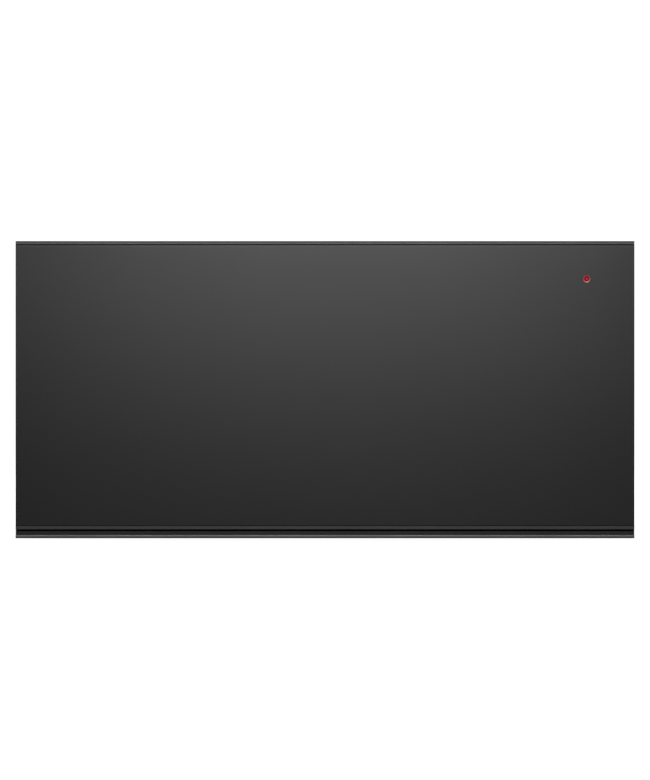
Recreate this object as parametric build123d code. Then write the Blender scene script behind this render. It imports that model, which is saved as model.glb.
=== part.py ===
from build123d import *
from math import cos, radians, sin, tan
import os

# Built-in warming drawer of the 30-inch class: a handleless glass-fronted drawer on ball-bearing runners
# in a sheet housing, with a fan and a ring heater behind the cavity.
# Millimetres. +Z is up, the front looks along -Y, +X is to the right.
# The origin is the middle of the footprint, on the plane that the housing stands on.

# ------------------------------------------------------------------ overall and sheet sizes
FRONT_WIDTH = 757.0
FRONT_HEIGHT = 363.5
OVERALL_DEPTH = 561.0
GLAND_REACH = 8.5  # the cable gland stands out behind the rear panel
BODY_INSET = 20.5  # from each edge of the front in to the side panel
BODY_TOP_INSET = 9.5  # the housing ends this far below the top of the front
SHEET = 1.0  # every folded sheet of the housing and the drawer
TOP_HEM = (30.0, 11.0)  # top panel: where its side hems start behind the front plane, and their height
BASE_HEM = (10.0, 15.0)  # the same for the base pan
REAR_FLANGE = 14.0  # width of the side panels' flange behind the rear panel's edge
REAR_FLANGE_ENDS = (16.0, 12.0)  # it starts above the foot and ends below the top by these
BEAM_LIPS = (18.0, 20.0)  # depth of the front beam's lower and upper lip
LOUVRE = (30.0, 3.0)  # half length and height of a slot in the rear panel
LOUVRE_PITCH = 9.0
LOUVRE_ROWS = 8
LOUVRE_COLUMNS = (-160.0, -80.0, 0.0, 80.0)
LOUVRE_DROP = 30.0  # the lowest slot lies this far below the fan's axis

# ------------------------------------------------------------------ door
GLASS = 5.0
GLASS_CHAMFER = 1.0
LINER_DEPTH = 18.0
LINER_INSET = 4.0  # from the glass's edges in to the tray behind it
LINER_LIP = 12.0  # bonding lip that turns in behind the glass
DOOR_GAP = 4.0  # between the closed door and the housing's front plane
TOP_STRIP = 3.3  # lit face of the strip along the top
TOP_GROOVE = 1.3  # shadow groove between that strip and the glass
BOTTOM_STRIP = 4.0
BOTTOM_GROOVE = 0.5
GROOVE_DEPTH = 1.5
STRIP_WALL = 1.5
GASKET_WIDTH = 5.0
GASKET_PLAY = 0.3  # the gasket stops this short of the housing
INSULATION_PLAY = 0.5

# ------------------------------------------------------------------ fixed trim below the door
TRIM_HEIGHT = 8.8
TRIM_LIP = 4.4  # height of the lip that stands forward
TRIM_STEP = 3.0  # the face above the lip lies this far back
TRIM_WALL = 1.5
DOOR_FOOT_GAP = 2.2  # shadow gap between trim and door

# ------------------------------------------------------------------ indicator in the upper right corner
INDICATOR_INSET = 58.3  # from the right edge of the front
INDICATOR_DROP = 46.3  # from the top of the front
GUIDE_RADIUS = 2.5
BEZEL_RADIUS = 4.6
GUIDE_RECESS = 0.3
LAMP_RADIUS = 4.0
LAMP_GAP = 1.5  # left between lamp and light guide when the drawer is pushed in
PUSH_IN = 3.0  # the drawer goes in this far to work its catch

# ------------------------------------------------------------------ cavity and drawer pan
COLUMN_CLEAR = 0.7  # between the lamp and the cavity liner's lip
LINER_EDGE = 5.0  # lip at the front edge of the cavity liner
PAN_SIDE_GAP = 3.5
PAN_BOTTOM = 40.0
PAN_TOP_GAP = 60.0  # from the pan's rim up to the cavity's ceiling
PAN_BACK_GAP = 9.0  # from the pan's rear wall to the fan cover
PAN_CORNER = 6.0
PAN_RIM = 6.0
PAN_SLOT = (5.0, 60.0)
PAN_SLOT_PITCH = 22.0
PAN_SLOT_COUNT = 17
MAT_THICK = 2.0
MAT_PLAY = 1.0
MAT_CORNER = 12.0
RAIL_PLATE = 22.0  # height of the beam that joins the housing's sides above the door opening
BACK_SETBACK = 53.0  # from the rear panel in to the cavity back
INSULATION = 18.0
INSULATION_START = 75.0  # the blanket starts this far behind the housing's front plane
BACK_INSULATION = 12.0
BACK_SLAB_INSET = 10.0
BACK_SLAB_FOOT = 20.0
SLAB_PLAY = 3.0  # round what passes through the slab

# ------------------------------------------------------------------ telescopic runners
RAIL_BACK_GAP = 14.0  # from the rails' rear ends to the cavity back
RAIL_SETBACK = 8.5  # from the housing's front plane to the rails' front ends
RAIL_Z = 120.0
RAIL_HALF = 23.0
RAIL_SHEET = 1.5
RAIL_GAP = 1.5  # between the outer and the middle web
TIP_GAP = 2.0  # between the middle web and the inner rail's flanges
BALL_RADIUS = 2.0
BALL_PLAY = 0.1
BALL_SEAT = 0.6  # depth of the ball tracks pressed into the flanges
BALL_ROW_STEP = 3.7
BALL_COUNT = 10
BALL_PITCH = 22.0
CAGE_SHEET = 0.6
CAGE_RIM = 0.6
WEB_CLEAR = 0.8
SLOT_CLEAR = 7.0  # above the runners, to the controls
CARRIER_SHEET = 1.5
CARRIER_BACK_GAP = 34.0  # the carrier brackets end this far short of the pan's rear wall
CARRIER_HALF = 12.0
CARRIER_PAN_HALF = 16.0
FOOT_HALF = 25.0
FOOT_SHEET = 2.0
FOOT_SCREW_INSET = (17.0, 7.0)  # from the bracket's side and from the foot's ends

# ------------------------------------------------------------------ controls in the right column
FASCIA_SETBACK = 25.5
FASCIA_DEPTH = 22.0
FASCIA_SHEET = 2.0
KNOB_RADIUS = 17.0
KNOB_DEPTH = 17.7
KNOB_RISE = 50.0  # knob's centre above the fascia's lower edge
KNOB_GAP = 0.3
KNOB_EDGE = 1.5  # rounding of the knob's front edge
KNOB_NOTCH = (0.8, 1.0)  # half width and depth of the pointer's groove
SWITCH_HALF = 13.0
SPINDLE_SHORT = 8.0  # the spindle ends this far inside the fascia's back
SPINDLE_FLOOR = 1.0  # left between its end and the bottom of the switch's bore
SPINDLE_RADIUS = 3.0
RUN_FIT = 0.05  # radial running clearance of shafts in their bores
ROCKER_RISE = 50.0  # rocker's centre above the knob's
ROCKER_TILT = 7.0
ROCKER_HALF = (6.5, 9.5)
ROCKER_PLAY = 0.4
ROCKER_SWING = 1.3
ROCKER_FACE = 3.9  # from the pivot to the middle of the rocker's face
ROCKER_BACK = (1.5, 4.0)  # from the pivot to the rocker's shoulders in front and to its foot behind
ROCKER_FOOT = 0.65  # height of the foot, as a share of the face's
ROCKER_WALL = (2.6, 2.2)  # rocker housing beside and above the rocker
ROCKER_ROOM = 12.0  # depth of the housing's pocket
ROCKER_BEZEL = (1.0, 1.5)  # how far the housing's rim reaches over the fascia, and its height
PIVOT_RADIUS = 1.5
PIVOT_DEPTH = 2.0  # from the fascia's face to the pivot
PIVOT_END = (1.4, 1.6)  # how far the pin and its bore reach into the housing's sides
LOOM_PLUG = (6.0, 8.0)  # half width and half height of the loom's plugs
PLUG_DEPTH = 8.0
BOARD_DROP = 22.0  # the control board reaches this far below the knob's axis
BOARD = 1.6

# ------------------------------------------------------------------ fan, heater and motor
FAN_DROP = 5.0  # the fan's axis lies this far below the fan cover's middle
FAN_GAP = 24.0  # from the fan's edge out to the heater's centre line
FAN_DEPTH = 16.0
FAN_BLADES = 14
BLADE_START = 0.55  # where the blades start, as a share of the fan's radius
BLADE_END = 1.0  # they stop this far short of the disc's edge
HUB = (9.0, 3.0)  # radius of the fan's hub, and how far it stays behind the blades' front
FAN_CLEAR = 5.0
HEATER_GAP = 11.0  # from the heater's centre line to the fan cover's lower wall
HEATER_TUBE = 3.25
HEATER_BEND = 9.0
HEATER_OPENING = 12.0  # degrees left open on each side of the top
COVER_HALF = 150.0
COVER_TOP_GAP = 20.0  # from the cover's flange up to the cavity's ceiling
COVER_CATCH_GAP = 8.0  # from the cover's flange down to the catch
COVER_DEPTH = 26.0
COVER_FLANGE = 10.0
COVER_SCREW_INSET = 10.0
PERFORATION = (11.0, 3.0)  # pitch and radius of the holes over the fan
PERFORATION_RINGS = 5
COVER_SLOT = (2.5, 45.0)  # half width and half height of the slots beside them
COVER_SLOT_PITCH = 12.0
COVER_SLOT_INSET = 15.0
COVER_SLOT_COUNT = 4
SHAFT_RADIUS = 3.0
CORE = (30.0, 18.0)  # half width and thickness of the motor's iron
CORE_REACH = (55.0, 28.0)  # the iron below and above the shaft
CORE_WINDOW = (20.0, 44.0, 28.0)  # opening in the iron: half width, and its edges below the shaft
COIL = (19.0, 60.0, 30.0)  # winding: half width, and its edges below the shaft
COIL_DEPTH = 4.0  # the winding stands out of the iron by this, each way
CORE_STANDOFF = 7.0
BRIDGE_DEPTH = 9.0
BRIDGE = (32.0, 2.0)  # half width and thickness of the bearing bridges
BRIDGE_FOOT = 40.0  # half height of the plate on the posts
BRIDGE_BELOW = 27.5
BEARING_RADIUS = 8.0
POST = (26.0, 34.0)  # places of the motor's four posts from the shaft
POST_RADIUS = 3.5
SENSOR = (2.0, 24.0, 8.0)  # probe: radius, reach before and behind the cavity back
SENSOR_COLLAR = (4.0, 1.5)
SENSOR_INSET = (40.0, 35.0)  # from the cavity's side and from its ceiling
CUTOUT_INSET = (110.5, 70.0)  # the same for the thermal cut-out
CUTOUT_RADIUS = 10.0
CUTOUT_PROUD = 2.0  # it stands out of the insulation by this
CUTOUT_PIN = (3.0, 0.4, 7.0, 5.0)  # half width, half thickness, length and offset of its pins
ROTOR_RADIUS = 17.5
AIR_GAP = 0.4

# ------------------------------------------------------------------ push-to-open catch
BLADE = (1.5, 20.0)  # half thickness and reach of the striker blade
BLADE_Z = (54.0, 66.0)
CATCH_OUT = 12.0
CATCH_GRIP = 4.0  # the fork reaches this far along the blade
FORK_GAP = 0.4
FORK_END = 6.0
FORK_HALF = 9.0
FORK_OVER = 1.0  # the fork is this much taller than the blade, each way
CATCH_PLAY = 0.3
CATCH_WALL = 4.7
CATCH_END = 3.0  # wall behind the spring
BLADE_FOOT = (14.0, 4.0)  # half width of the blade's foot, and how far it reaches past the blade
CATCH_TUNNEL = (4.0, 8.0)  # opening under the channel: its floor, and the web left under the blade
SPRING_ROOM = 10.7
SPRING_RADIUS = 4.5
SPRING_WIRE = 0.5
SPRING_TURNS = 4

# ------------------------------------------------------------------ fasteners, electrics
SCREW_RADIUS = 1.9
SCREW_PLAY = 0.1
SCREW_HEAD = (3.5, 1.8)  # head radius and height
CABINET_HOLE_RADIUS = 2.25
CABINET_HOLE_Z = (60.0, 300.0)
EDGE_SCREW_INSET = (73.0, 52.0)  # from the housing's front and rear
EDGE_SCREW_RISE = (8.0, 6.0)  # above the foot and below the top
REAR_SCREW_INSET = 7.0
REAR_SCREW_ENDS = (40.0, 34.0)
RAIL_SCREW_INSET = 45.0
LINER_SCREW_SHARES = (0.3, 0.8)  # of the pan's half width
LINER_SCREW_INSET = (20.0, 30.0)
PAN_SCREW_INSET = (40.0, 20.0)
PAN_SCREW_DROP = 6.0
INNER_SCREW_INSET = 30.0
BUFFER = (5.0, 0.9)  # radius and height of the rubber stops
BUFFER_STEP = (30.0, 35.0)  # below and above the cabinet screws
GLAND_BORE = 4.25
GLAND_INSET = 107.0  # from the side panel in to the gland's axis
GLAND_Z = 60.0
GLAND_NECK = 7.9
GLAND_FLANGE = (11.0, 3.0)
GLAND_CAP = 8.5
GLAND_INSIDE = 8.0  # how far its thread reaches into the housing
GLAND_NUT = (12.0, 5.0)
RELAY_BOARD_REACH = (70.0, 19.0)  # from the gland's axis and from the loom's bend
RELAY_BOARD_RISE = (65.0, 15.0)  # above the gland's axis and above the loom
RELAY_BOARD_GAP = 7.0  # behind it, to the rear panel
RELAY_BOARD_BEHIND = 15.9  # the loom's axis runs this far in front of the board
STANDOFF = (3.0, 6.0)  # radius, and inset from the board's edges
# raised parts of the relay board: offset along X and Z from its corner, width, and height off the board
RELAYS = ((20.0, 20.0, 16.0, 15.0), (48.0, 20.0, 16.0, 15.0), (30.0, 60.0, 28.0, 17.0),
          (84.0, 30.0, 14.0, 12.0))
RELAY_HEIGHT = 24.0
RELAY_PLUG = (16.0, 7.0)
TERMINALS = (20.0, 20.0)  # half width and depth of the terminal block
TERMINAL_RISE = (30.0, 50.0)  # its lower and upper edge above the gland's axis
TERMINAL_WELL = (4.0, 6.0, 8.0)  # half width, half height and depth of a wire well
TERMINAL_PITCH = 12.0
LOOM_RADIUS = 4.0
LOOM_BEND = 25.0
LOOM_DROP = 45.0  # the loom runs this far below the cavity's ceiling
LOOM_PASSAGE = 2.0  # free room round the loom where it passes through a sheet
CLIP = (1.5, 5.0)  # thickness and half length of the loom's clips
CLIP_INSET = (100.0, 50.0)
LOOM_WALL_GAP = 13.0  # from the side panel in to the loom's axis

# ------------------------------------------------------------------ planes worked out from the sizes above
front_y = -OVERALL_DEPTH / 2
gland_y = OVERALL_DEPTH / 2
rear_y = gland_y - GLAND_REACH
half_front = FRONT_WIDTH / 2
half_body = half_front - BODY_INSET
wall_x = half_body - SHEET
body_top = FRONT_HEIGHT - BODY_TOP_INSET

glass_back = front_y + GLASS
liner_back = glass_back + LINER_DEPTH
housing_y = liner_back + DOOR_GAP
door_bottom = TRIM_HEIGHT + DOOR_FOOT_GAP
glass_z = (door_bottom + BOTTOM_STRIP + BOTTOM_GROOVE, FRONT_HEIGHT - TOP_STRIP - TOP_GROOVE)
liner_x = half_front - LINER_INSET
liner_z = (glass_z[0] + LINER_INSET, glass_z[1] - LINER_INSET)
flange_x = liner_x
cabinet_hole_x = (half_body + flange_x) / 2

indicator_x = half_front - INDICATOR_INSET
indicator_z = FRONT_HEIGHT - INDICATOR_DROP
cavity_x = indicator_x - LAMP_RADIUS - COLUMN_CLEAR - LINER_EDGE
cavity_top = body_top - SHEET - RAIL_PLATE - SHEET
cavity_back_y = rear_y - BACK_SETBACK
slot_top = RAIL_Z + RAIL_HALF + SLOT_CLEAR
column_x = (cavity_x + wall_x) / 2

catch_half = FORK_HALF + CATCH_PLAY + CATCH_WALL
catch_top = BLADE_Z[1] + FORK_OVER + CATCH_PLAY + CATCH_WALL

cover_front = cavity_back_y - COVER_DEPTH
cover_z = (catch_top + COVER_CATCH_GAP + COVER_FLANGE, cavity_top - COVER_TOP_GAP - COVER_FLANGE)
fan_z = sum(cover_z) / 2 - FAN_DROP
heater_radius = fan_z - cover_z[0] - HEATER_GAP
fan_radius = heater_radius - FAN_GAP
fan_y = (cavity_back_y - FAN_CLEAR - FAN_DEPTH, cavity_back_y - FAN_CLEAR)
heater_y = sum(fan_y) / 2
insulated_y = cavity_back_y + SHEET + BACK_INSULATION
core_y = (insulated_y + CORE_STANDOFF, insulated_y + CORE_STANDOFF + CORE[1])
bridge_rear_y = core_y[1] + BRIDGE_DEPTH
sensor_at = (cavity_x - SENSOR_INSET[0], cavity_top - SENSOR_INSET[1])
cutout_at = (cavity_x - CUTOUT_INSET[0], cavity_top - CUTOUT_INSET[1])
post_places = [(side * POST[0], fan_z + dz) for side in (-1, 1) for dz in (-POST[1], POST[1])]

pan_x = cavity_x - SHEET - PAN_SIDE_GAP
pan_y = (liner_back, cover_front - PAN_BACK_GAP)
pan_z = (PAN_BOTTOM, cavity_top - PAN_TOP_GAP)

rail_y = (housing_y + RAIL_SETBACK, cavity_back_y - RAIL_BACK_GAP)
track_radius = BALL_RADIUS + BALL_PLAY
outer_ball_z = RAIL_HALF - RAIL_SHEET + BALL_SEAT - track_radius
middle_half = outer_ball_z - track_radius + BALL_SEAT
inner_ball_z = middle_half - RAIL_SHEET + BALL_SEAT - track_radius
inner_half = inner_ball_z - track_radius + BALL_SEAT
middle_web = wall_x - RAIL_SHEET - RAIL_GAP
outer_ball_x = middle_web - RAIL_SHEET - BALL_RADIUS
inner_ball_x = outer_ball_x - BALL_ROW_STEP
inner_web = inner_ball_x - BALL_RADIUS - WEB_CLEAR
carrier_x = inner_web - RAIL_SHEET
carrier_y = (liner_back, pan_y[1] - CARRIER_BACK_GAP)

fascia_y = housing_y + FASCIA_SETBACK
fascia_back = fascia_y + FASCIA_DEPTH
knob_z = slot_top + KNOB_RISE
rocker_z = knob_z + ROCKER_RISE

rocker_pivot = (fascia_y + PIVOT_DEPTH, rocker_z)
bezel_y = fascia_y - ROCKER_BEZEL[1]

blade_tip = pan_y[1] + FOOT_SHEET + BLADE[1]
fork_y = (blade_tip - CATCH_GRIP, blade_tip + CATCH_OUT + PUSH_IN + CATCH_PLAY + FORK_END)
catch_y = (fork_y[0] - CATCH_GRIP, fork_y[1] + SPRING_ROOM + CATCH_END)

gland_x = wall_x - GLAND_INSET
loom_x = wall_x - LOOM_WALL_GAP
loom_z = cavity_top - LOOM_DROP
board_y = (rear_y - SHEET - RELAY_BOARD_GAP - BOARD, rear_y - SHEET - RELAY_BOARD_GAP)
loom_y = (fascia_back + BOARD + PLUG_DEPTH, board_y[0] - RELAY_BOARD_BEHIND)
board_x = (gland_x - RELAY_BOARD_REACH[0], loom_x - LOOM_BEND - RELAY_BOARD_REACH[1])
board_z = (GLAND_Z + RELAY_BOARD_RISE[0], loom_z + RELAY_BOARD_RISE[1])


# ------------------------------------------------------------------ helpers
def block(x, y, z):
    """Box between (low, high) pairs."""
    size = (x[1] - x[0], y[1] - y[0], z[1] - z[0])
    return Pos(sum(x) / 2, sum(y) / 2, sum(z) / 2) * Box(*size)


def both(limit):
    """Pair that is symmetric about zero."""
    return (-limit, limit)


def both_about(centre, limit):
    """Pair that is symmetric about centre."""
    return (centre - limit, centre + limit)


def rod(axis, radius, span, at):
    """Cylinder along an axis over a (low, high) span; at holds its other two coordinates in X, Y, Z order."""
    middle = sum(span) / 2
    centre = {
        "x": (middle, at[0], at[1]),
        "y": (at[0], middle, at[1]),
        "z": (at[0], at[1], middle),
    }
    turn = {"x": Rot(0, 90, 0), "y": Rot(90, 0, 0), "z": Rot(0, 0, 0)}
    return Pos(*centre[axis]) * turn[axis] * Cylinder(radius, span[1] - span[0])


def bar_x(points, x):
    """Bar along X whose section is given as (y, z) points."""
    plane = Plane(origin=(x[0], 0, 0), x_dir=(1, 0, 0), z_dir=(0, 0, 1))
    outline = Polyline(*[plane.from_local_coords((0, y, z)) for y, z in points], close=True)
    return extrude(make_face(outline), amount=x[1] - x[0], dir=(1, 0, 0))


def left_of(shape):
    """The same piece on the left side."""
    return mirror(shape, about=Plane.YZ)


def screw(axis, seat, toward, at, grip):
    """Pan-head screw whose head sits on the plane seat and whose shank runs grip deep, toward +1 or -1."""
    head = sorted((seat, seat - toward * SCREW_HEAD[1]))
    shank = sorted((seat, seat + toward * grip))
    return rod(axis, SCREW_HEAD[0], head, at) + rod(axis, SCREW_RADIUS, shank, at)


def screw_hole(axis, span, at):
    """Cutter for a screw's shank."""
    return rod(axis, SCREW_RADIUS + SCREW_PLAY, span, at)


def drilled(shape, cutters):
    """Shape with all the cutters taken out."""
    for cutter in cutters:
        shape = shape - cutter
    return shape


# ------------------------------------------------------------------ places of the fasteners
def with_middle(low, high):
    """Both ends of a row and the place halfway."""
    return (low, (low + high) / 2, high)


liner_screws = [(side * pan_x * share, z) for side in (-1, 1) for share in LINER_SCREW_SHARES
                for z in (pan_z[0] + LINER_SCREW_INSET[0], pan_z[1] - LINER_SCREW_INSET[1])]
foot_screws = [(carrier_x - CARRIER_SHEET - FOOT_SCREW_INSET[0], RAIL_Z + dz)
               for dz in both(FOOT_HALF - FOOT_SCREW_INSET[1])]
pan_screws = [(y, RAIL_Z + CARRIER_PAN_HALF - PAN_SCREW_DROP)
              for y in (pan_y[0] + PAN_SCREW_INSET[0], sum(pan_y) / 2, carrier_y[1] - PAN_SCREW_INSET[1])]
inner_screws = [(y, RAIL_Z + CARRIER_HALF / 2)
                for y in with_middle(rail_y[0] + RAIL_SCREW_INSET, carrier_y[1] - INNER_SCREW_INSET)]
rail_screws = [(y, RAIL_Z) for y in with_middle(rail_y[0] + RAIL_SCREW_INSET, rail_y[1] - RAIL_SCREW_INSET)]
edge_screws = [(y, z) for y in with_middle(housing_y + EDGE_SCREW_INSET[0], rear_y - EDGE_SCREW_INSET[1])
               for z in (EDGE_SCREW_RISE[0], body_top - EDGE_SCREW_RISE[1])]
rear_screws = [(side * (wall_x - REAR_SCREW_INSET), z) for side in (-1, 1)
               for z in (REAR_SCREW_ENDS[0], body_top / 2, body_top - REAR_SCREW_ENDS[1])]
cover_screws = [(side * (COVER_HALF + COVER_FLANGE / 2), z) for side in (-1, 1)
                for z in (cover_z[0] + COVER_SCREW_INSET, cover_z[1] - COVER_SCREW_INSET)]


# ------------------------------------------------------------------ door
def front_glass():
    pane = block(both(half_front), (front_y, glass_back), glass_z)
    pane = chamfer(pane.faces().sort_by(Axis.Y)[0].edges(), GLASS_CHAMFER)
    return pane - rod("y", BEZEL_RADIUS, (front_y - 1, glass_back + 1), (indicator_x, indicator_z))


def door_top_profile():
    groove_y = front_y + GROOVE_DEPTH
    groove_top = FRONT_HEIGHT - TOP_STRIP
    section = [(front_y, groove_top), (front_y, FRONT_HEIGHT), (liner_back, FRONT_HEIGHT),
               (liner_back, liner_z[1]), (glass_back, liner_z[1]), (glass_back, glass_z[1]),
               (groove_y, glass_z[1]), (groove_y, groove_top)]
    strip = bar_x(section, both(half_front))
    channel = block(both(half_front - STRIP_WALL), (glass_back + STRIP_WALL, liner_back + 1),
                    (liner_z[1] + STRIP_WALL, FRONT_HEIGHT - STRIP_WALL))
    return strip - channel


def door_bottom_profile():
    groove_y = front_y + GROOVE_DEPTH
    groove_bottom = door_bottom + BOTTOM_STRIP
    section = [(front_y, door_bottom), (front_y, groove_bottom), (groove_y, groove_bottom),
               (groove_y, glass_z[0]), (glass_back, glass_z[0]), (glass_back, liner_z[0]),
               (liner_back, liner_z[0]), (liner_back, door_bottom)]
    strip = bar_x(section, both(half_front))
    channel = block(both(half_front - STRIP_WALL), (glass_back + STRIP_WALL, liner_back + 1),
                    (door_bottom + STRIP_WALL, liner_z[0] - STRIP_WALL))
    return strip - channel


def door_liner():
    tray = block(both(liner_x), (glass_back, liner_back), liner_z)
    hollow = block(both(liner_x - SHEET), (glass_back + SHEET, liner_back - SHEET),
                   (liner_z[0] + SHEET, liner_z[1] - SHEET))
    window = block(both(liner_x - LINER_LIP), (glass_back - 1, glass_back + 2 * SHEET),
                   (liner_z[0] + LINER_LIP, liner_z[1] - LINER_LIP))
    back_span = (liner_back - 2 * SHEET, liner_back + 1)
    holes = [screw_hole("y", back_span, at) for at in liner_screws]
    holes += [screw_hole("y", back_span, (side * x, z)) for side in (-1, 1) for x, z in foot_screws]
    holes.append(rod("y", GUIDE_RADIUS, back_span, (indicator_x, indicator_z)))
    return drilled(tray - hollow - window, holes)


def door_insulation():
    play = SHEET + INSULATION_PLAY
    slab = block(both(liner_x - play), (glass_back + SHEET, liner_back - SHEET),
                 (liner_z[0] + play, liner_z[1] - play))
    guide = rod("y", GUIDE_RADIUS + INSULATION_PLAY, (glass_back, liner_back), (indicator_x, indicator_z))
    return slab - guide


def gasket_ring(inset):
    """Outline block of the inverted U that the gasket follows, shrunk by inset."""
    reach = cavity_x + LINER_EDGE - inset
    return block(both(reach), (liner_back, housing_y - GASKET_PLAY),
                 (slot_top - 1 if inset else slot_top, cavity_top + 2 + GASKET_WIDTH - inset))


def door_gasket():
    return gasket_ring(0.0) - gasket_ring(GASKET_WIDTH)


def light_guide():
    return rod("y", GUIDE_RADIUS, (front_y + GUIDE_RECESS, liner_back), (indicator_x, indicator_z))


def indicator_bezel():
    ring = rod("y", BEZEL_RADIUS, (front_y, glass_back), (indicator_x, indicator_z))
    return ring - rod("y", GUIDE_RADIUS, (front_y - 1, glass_back + 1), (indicator_x, indicator_z))


# ------------------------------------------------------------------ drawer
def rounded_box(x, y, z, radius):
    """Box with its upright and lower edges rounded."""
    box = block(x, y, z)
    upright = box.edges().filter_by(Axis.Z)
    lower = box.faces().sort_by(Axis.Z)[0].edges()
    return fillet(upright + lower, radius)


def drawer_pan():
    outer = rounded_box(both(pan_x), pan_y, pan_z, PAN_CORNER)
    hollow = rounded_box(both(pan_x - SHEET), (pan_y[0] + SHEET, pan_y[1] - SHEET),
                         (pan_z[0] + SHEET, pan_z[1] - SHEET), PAN_CORNER - SHEET)
    mouth_x = pan_x - PAN_RIM
    mouth_y = (pan_y[0] + PAN_RIM, pan_y[1] - PAN_RIM)
    mouth = block(both(mouth_x), mouth_y, (pan_z[1] - 2 * SHEET, pan_z[1] + 1))
    slot_z = fan_z - PAN_SLOT[1] / 2
    back_span = (pan_y[1] - 2 * SHEET, pan_y[1] + 1)
    slots = [block((x - PAN_SLOT[0] / 2, x + PAN_SLOT[0] / 2), back_span, (slot_z, slot_z + PAN_SLOT[1]))
             for x in slot_places()]
    holes = [screw_hole("y", (pan_y[0] - 1, pan_y[0] + 2 * SHEET), at) for at in liner_screws]
    for y, z in pan_screws:
        holes += [screw_hole("x", sorted((side * (pan_x - 2 * SHEET), side * (pan_x + 1))), (y, z))
                  for side in (-1, 1)]
    return drilled(outer - hollow - mouth, slots + holes)


def slot_places():
    """X of each hot-air slot in the pan's rear wall."""
    return [(index - (PAN_SLOT_COUNT - 1) / 2) * PAN_SLOT_PITCH for index in range(PAN_SLOT_COUNT)]


def nonslip_mat():
    margin = PAN_CORNER + MAT_PLAY
    floor = pan_z[0] + SHEET
    slab = block(both(pan_x - margin), (pan_y[0] + margin, pan_y[1] - margin), (floor, floor + MAT_THICK))
    return fillet(slab.edges().filter_by(Axis.Z), MAT_CORNER)


def carrier_bracket():
    """Right bracket: joins the pan's side and the door to the inner rail."""
    piece = block((pan_x, carrier_x), carrier_y, both_about(RAIL_Z, CARRIER_SHEET / 2))
    piece += block((pan_x, pan_x + CARRIER_SHEET), carrier_y, both_about(RAIL_Z, CARRIER_PAN_HALF))
    piece += block((carrier_x - CARRIER_SHEET, carrier_x), carrier_y, both_about(RAIL_Z, CARRIER_HALF))
    piece += block((pan_x, carrier_x), (liner_back, liner_back + FOOT_SHEET), both_about(RAIL_Z, FOOT_HALF))
    holes = [screw_hole("y", (liner_back - 1, liner_back + 2 * FOOT_SHEET), at) for at in foot_screws]
    holes += [screw_hole("x", (pan_x - 1, pan_x + 2 * CARRIER_SHEET), at) for at in pan_screws]
    holes += [screw_hole("x", (carrier_x - 2 * CARRIER_SHEET, carrier_x + 1), at) for at in inner_screws]
    return drilled(piece, holes)


def striker_blade():
    half_x, over = BLADE_FOOT
    foot = block(both(half_x), (pan_y[1], pan_y[1] + FOOT_SHEET), (BLADE_Z[0] - over, BLADE_Z[1] + over))
    return foot + block(both(BLADE[0]), (pan_y[1], blade_tip), BLADE_Z)


def drawer_screws():
    right = [screw("x", pan_x - SHEET, 1, at, SHEET + CARRIER_SHEET) for at in pan_screws]
    right += [screw("x", carrier_x - CARRIER_SHEET, 1, at, CARRIER_SHEET + RAIL_SHEET) for at in inner_screws]
    right += [screw("y", liner_back + FOOT_SHEET, -1, at, FOOT_SHEET + SHEET) for at in foot_screws]
    front = [screw("y", pan_y[0] + SHEET, -1, at, 2 * SHEET) for at in liner_screws]
    return right + [left_of(piece) for piece in right] + front


# ------------------------------------------------------------------ runners, right side
def channel_rail(web, tip, half):
    """C-shaped rail: web runs between its x planes, flanges reach to tip."""
    flange_x_span = sorted((tip, web[0] if abs(tip - web[0]) > abs(tip - web[1]) else web[1]))
    piece = block(web, rail_y, both_about(RAIL_Z, half))
    for side in (-1, 1):
        edge = sorted((RAIL_Z + side * half, RAIL_Z + side * (half - RAIL_SHEET)))
        piece += block(flange_x_span, rail_y, edge)
    return piece


def tracks(x, z):
    """Cutters for the upper and lower ball track at x."""
    span = (rail_y[0] - 1, rail_y[1] + 1)
    return [rod("y", track_radius, span, (x, RAIL_Z + side * z)) for side in (-1, 1)]


def outer_rail():
    tip = outer_ball_x - BALL_RADIUS - 1.0
    rail = channel_rail((wall_x - RAIL_SHEET, wall_x), tip, RAIL_HALF)
    holes = [screw_hole("x", (wall_x - 2 * RAIL_SHEET, wall_x + 1), at) for at in rail_screws]
    return drilled(rail, tracks(outer_ball_x, outer_ball_z) + holes)


def middle_rail():
    tip = inner_ball_x - BALL_RADIUS
    rail = channel_rail((middle_web - RAIL_SHEET, middle_web), tip, middle_half)
    return drilled(rail, tracks(outer_ball_x, outer_ball_z) + tracks(inner_ball_x, inner_ball_z))


def inner_rail():
    tip = middle_web - RAIL_SHEET - TIP_GAP
    rail = channel_rail((carrier_x, inner_web), tip, inner_half)
    holes = [screw_hole("x", (carrier_x - 1, inner_web + 1), at) for at in inner_screws]
    return drilled(rail, tracks(inner_ball_x, inner_ball_z) + holes)


def ball_cage(ball_x, ball_z, web):
    """Retainer strip with two rows of balls in it."""
    middle = sum(rail_y) / 2
    length = BALL_COUNT * BALL_PITCH
    span = both_about(middle, length / 2)
    tip = ball_x - BALL_RADIUS - CAGE_RIM
    edge = ball_z + CAGE_SHEET / 2
    strip = block((web, web + CAGE_SHEET), span, both_about(RAIL_Z, edge))
    for side in (-1, 1):
        strip += block((tip, web + CAGE_SHEET), span, both_about(RAIL_Z + side * ball_z, CAGE_SHEET / 2))
    balls = []
    for index in range(BALL_COUNT):
        y = middle + (index - (BALL_COUNT - 1) / 2) * BALL_PITCH
        for side in (-1, 1):
            z = RAIL_Z + side * ball_z
            strip -= rod("z", track_radius, both_about(z, BALL_RADIUS), (ball_x, y))
            balls.append(Pos(ball_x, y, z) * Sphere(BALL_RADIUS))
    return [strip] + balls


def outer_cage():
    return ball_cage(outer_ball_x, outer_ball_z, middle_web + (RAIL_GAP - CAGE_SHEET) / 2)


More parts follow.
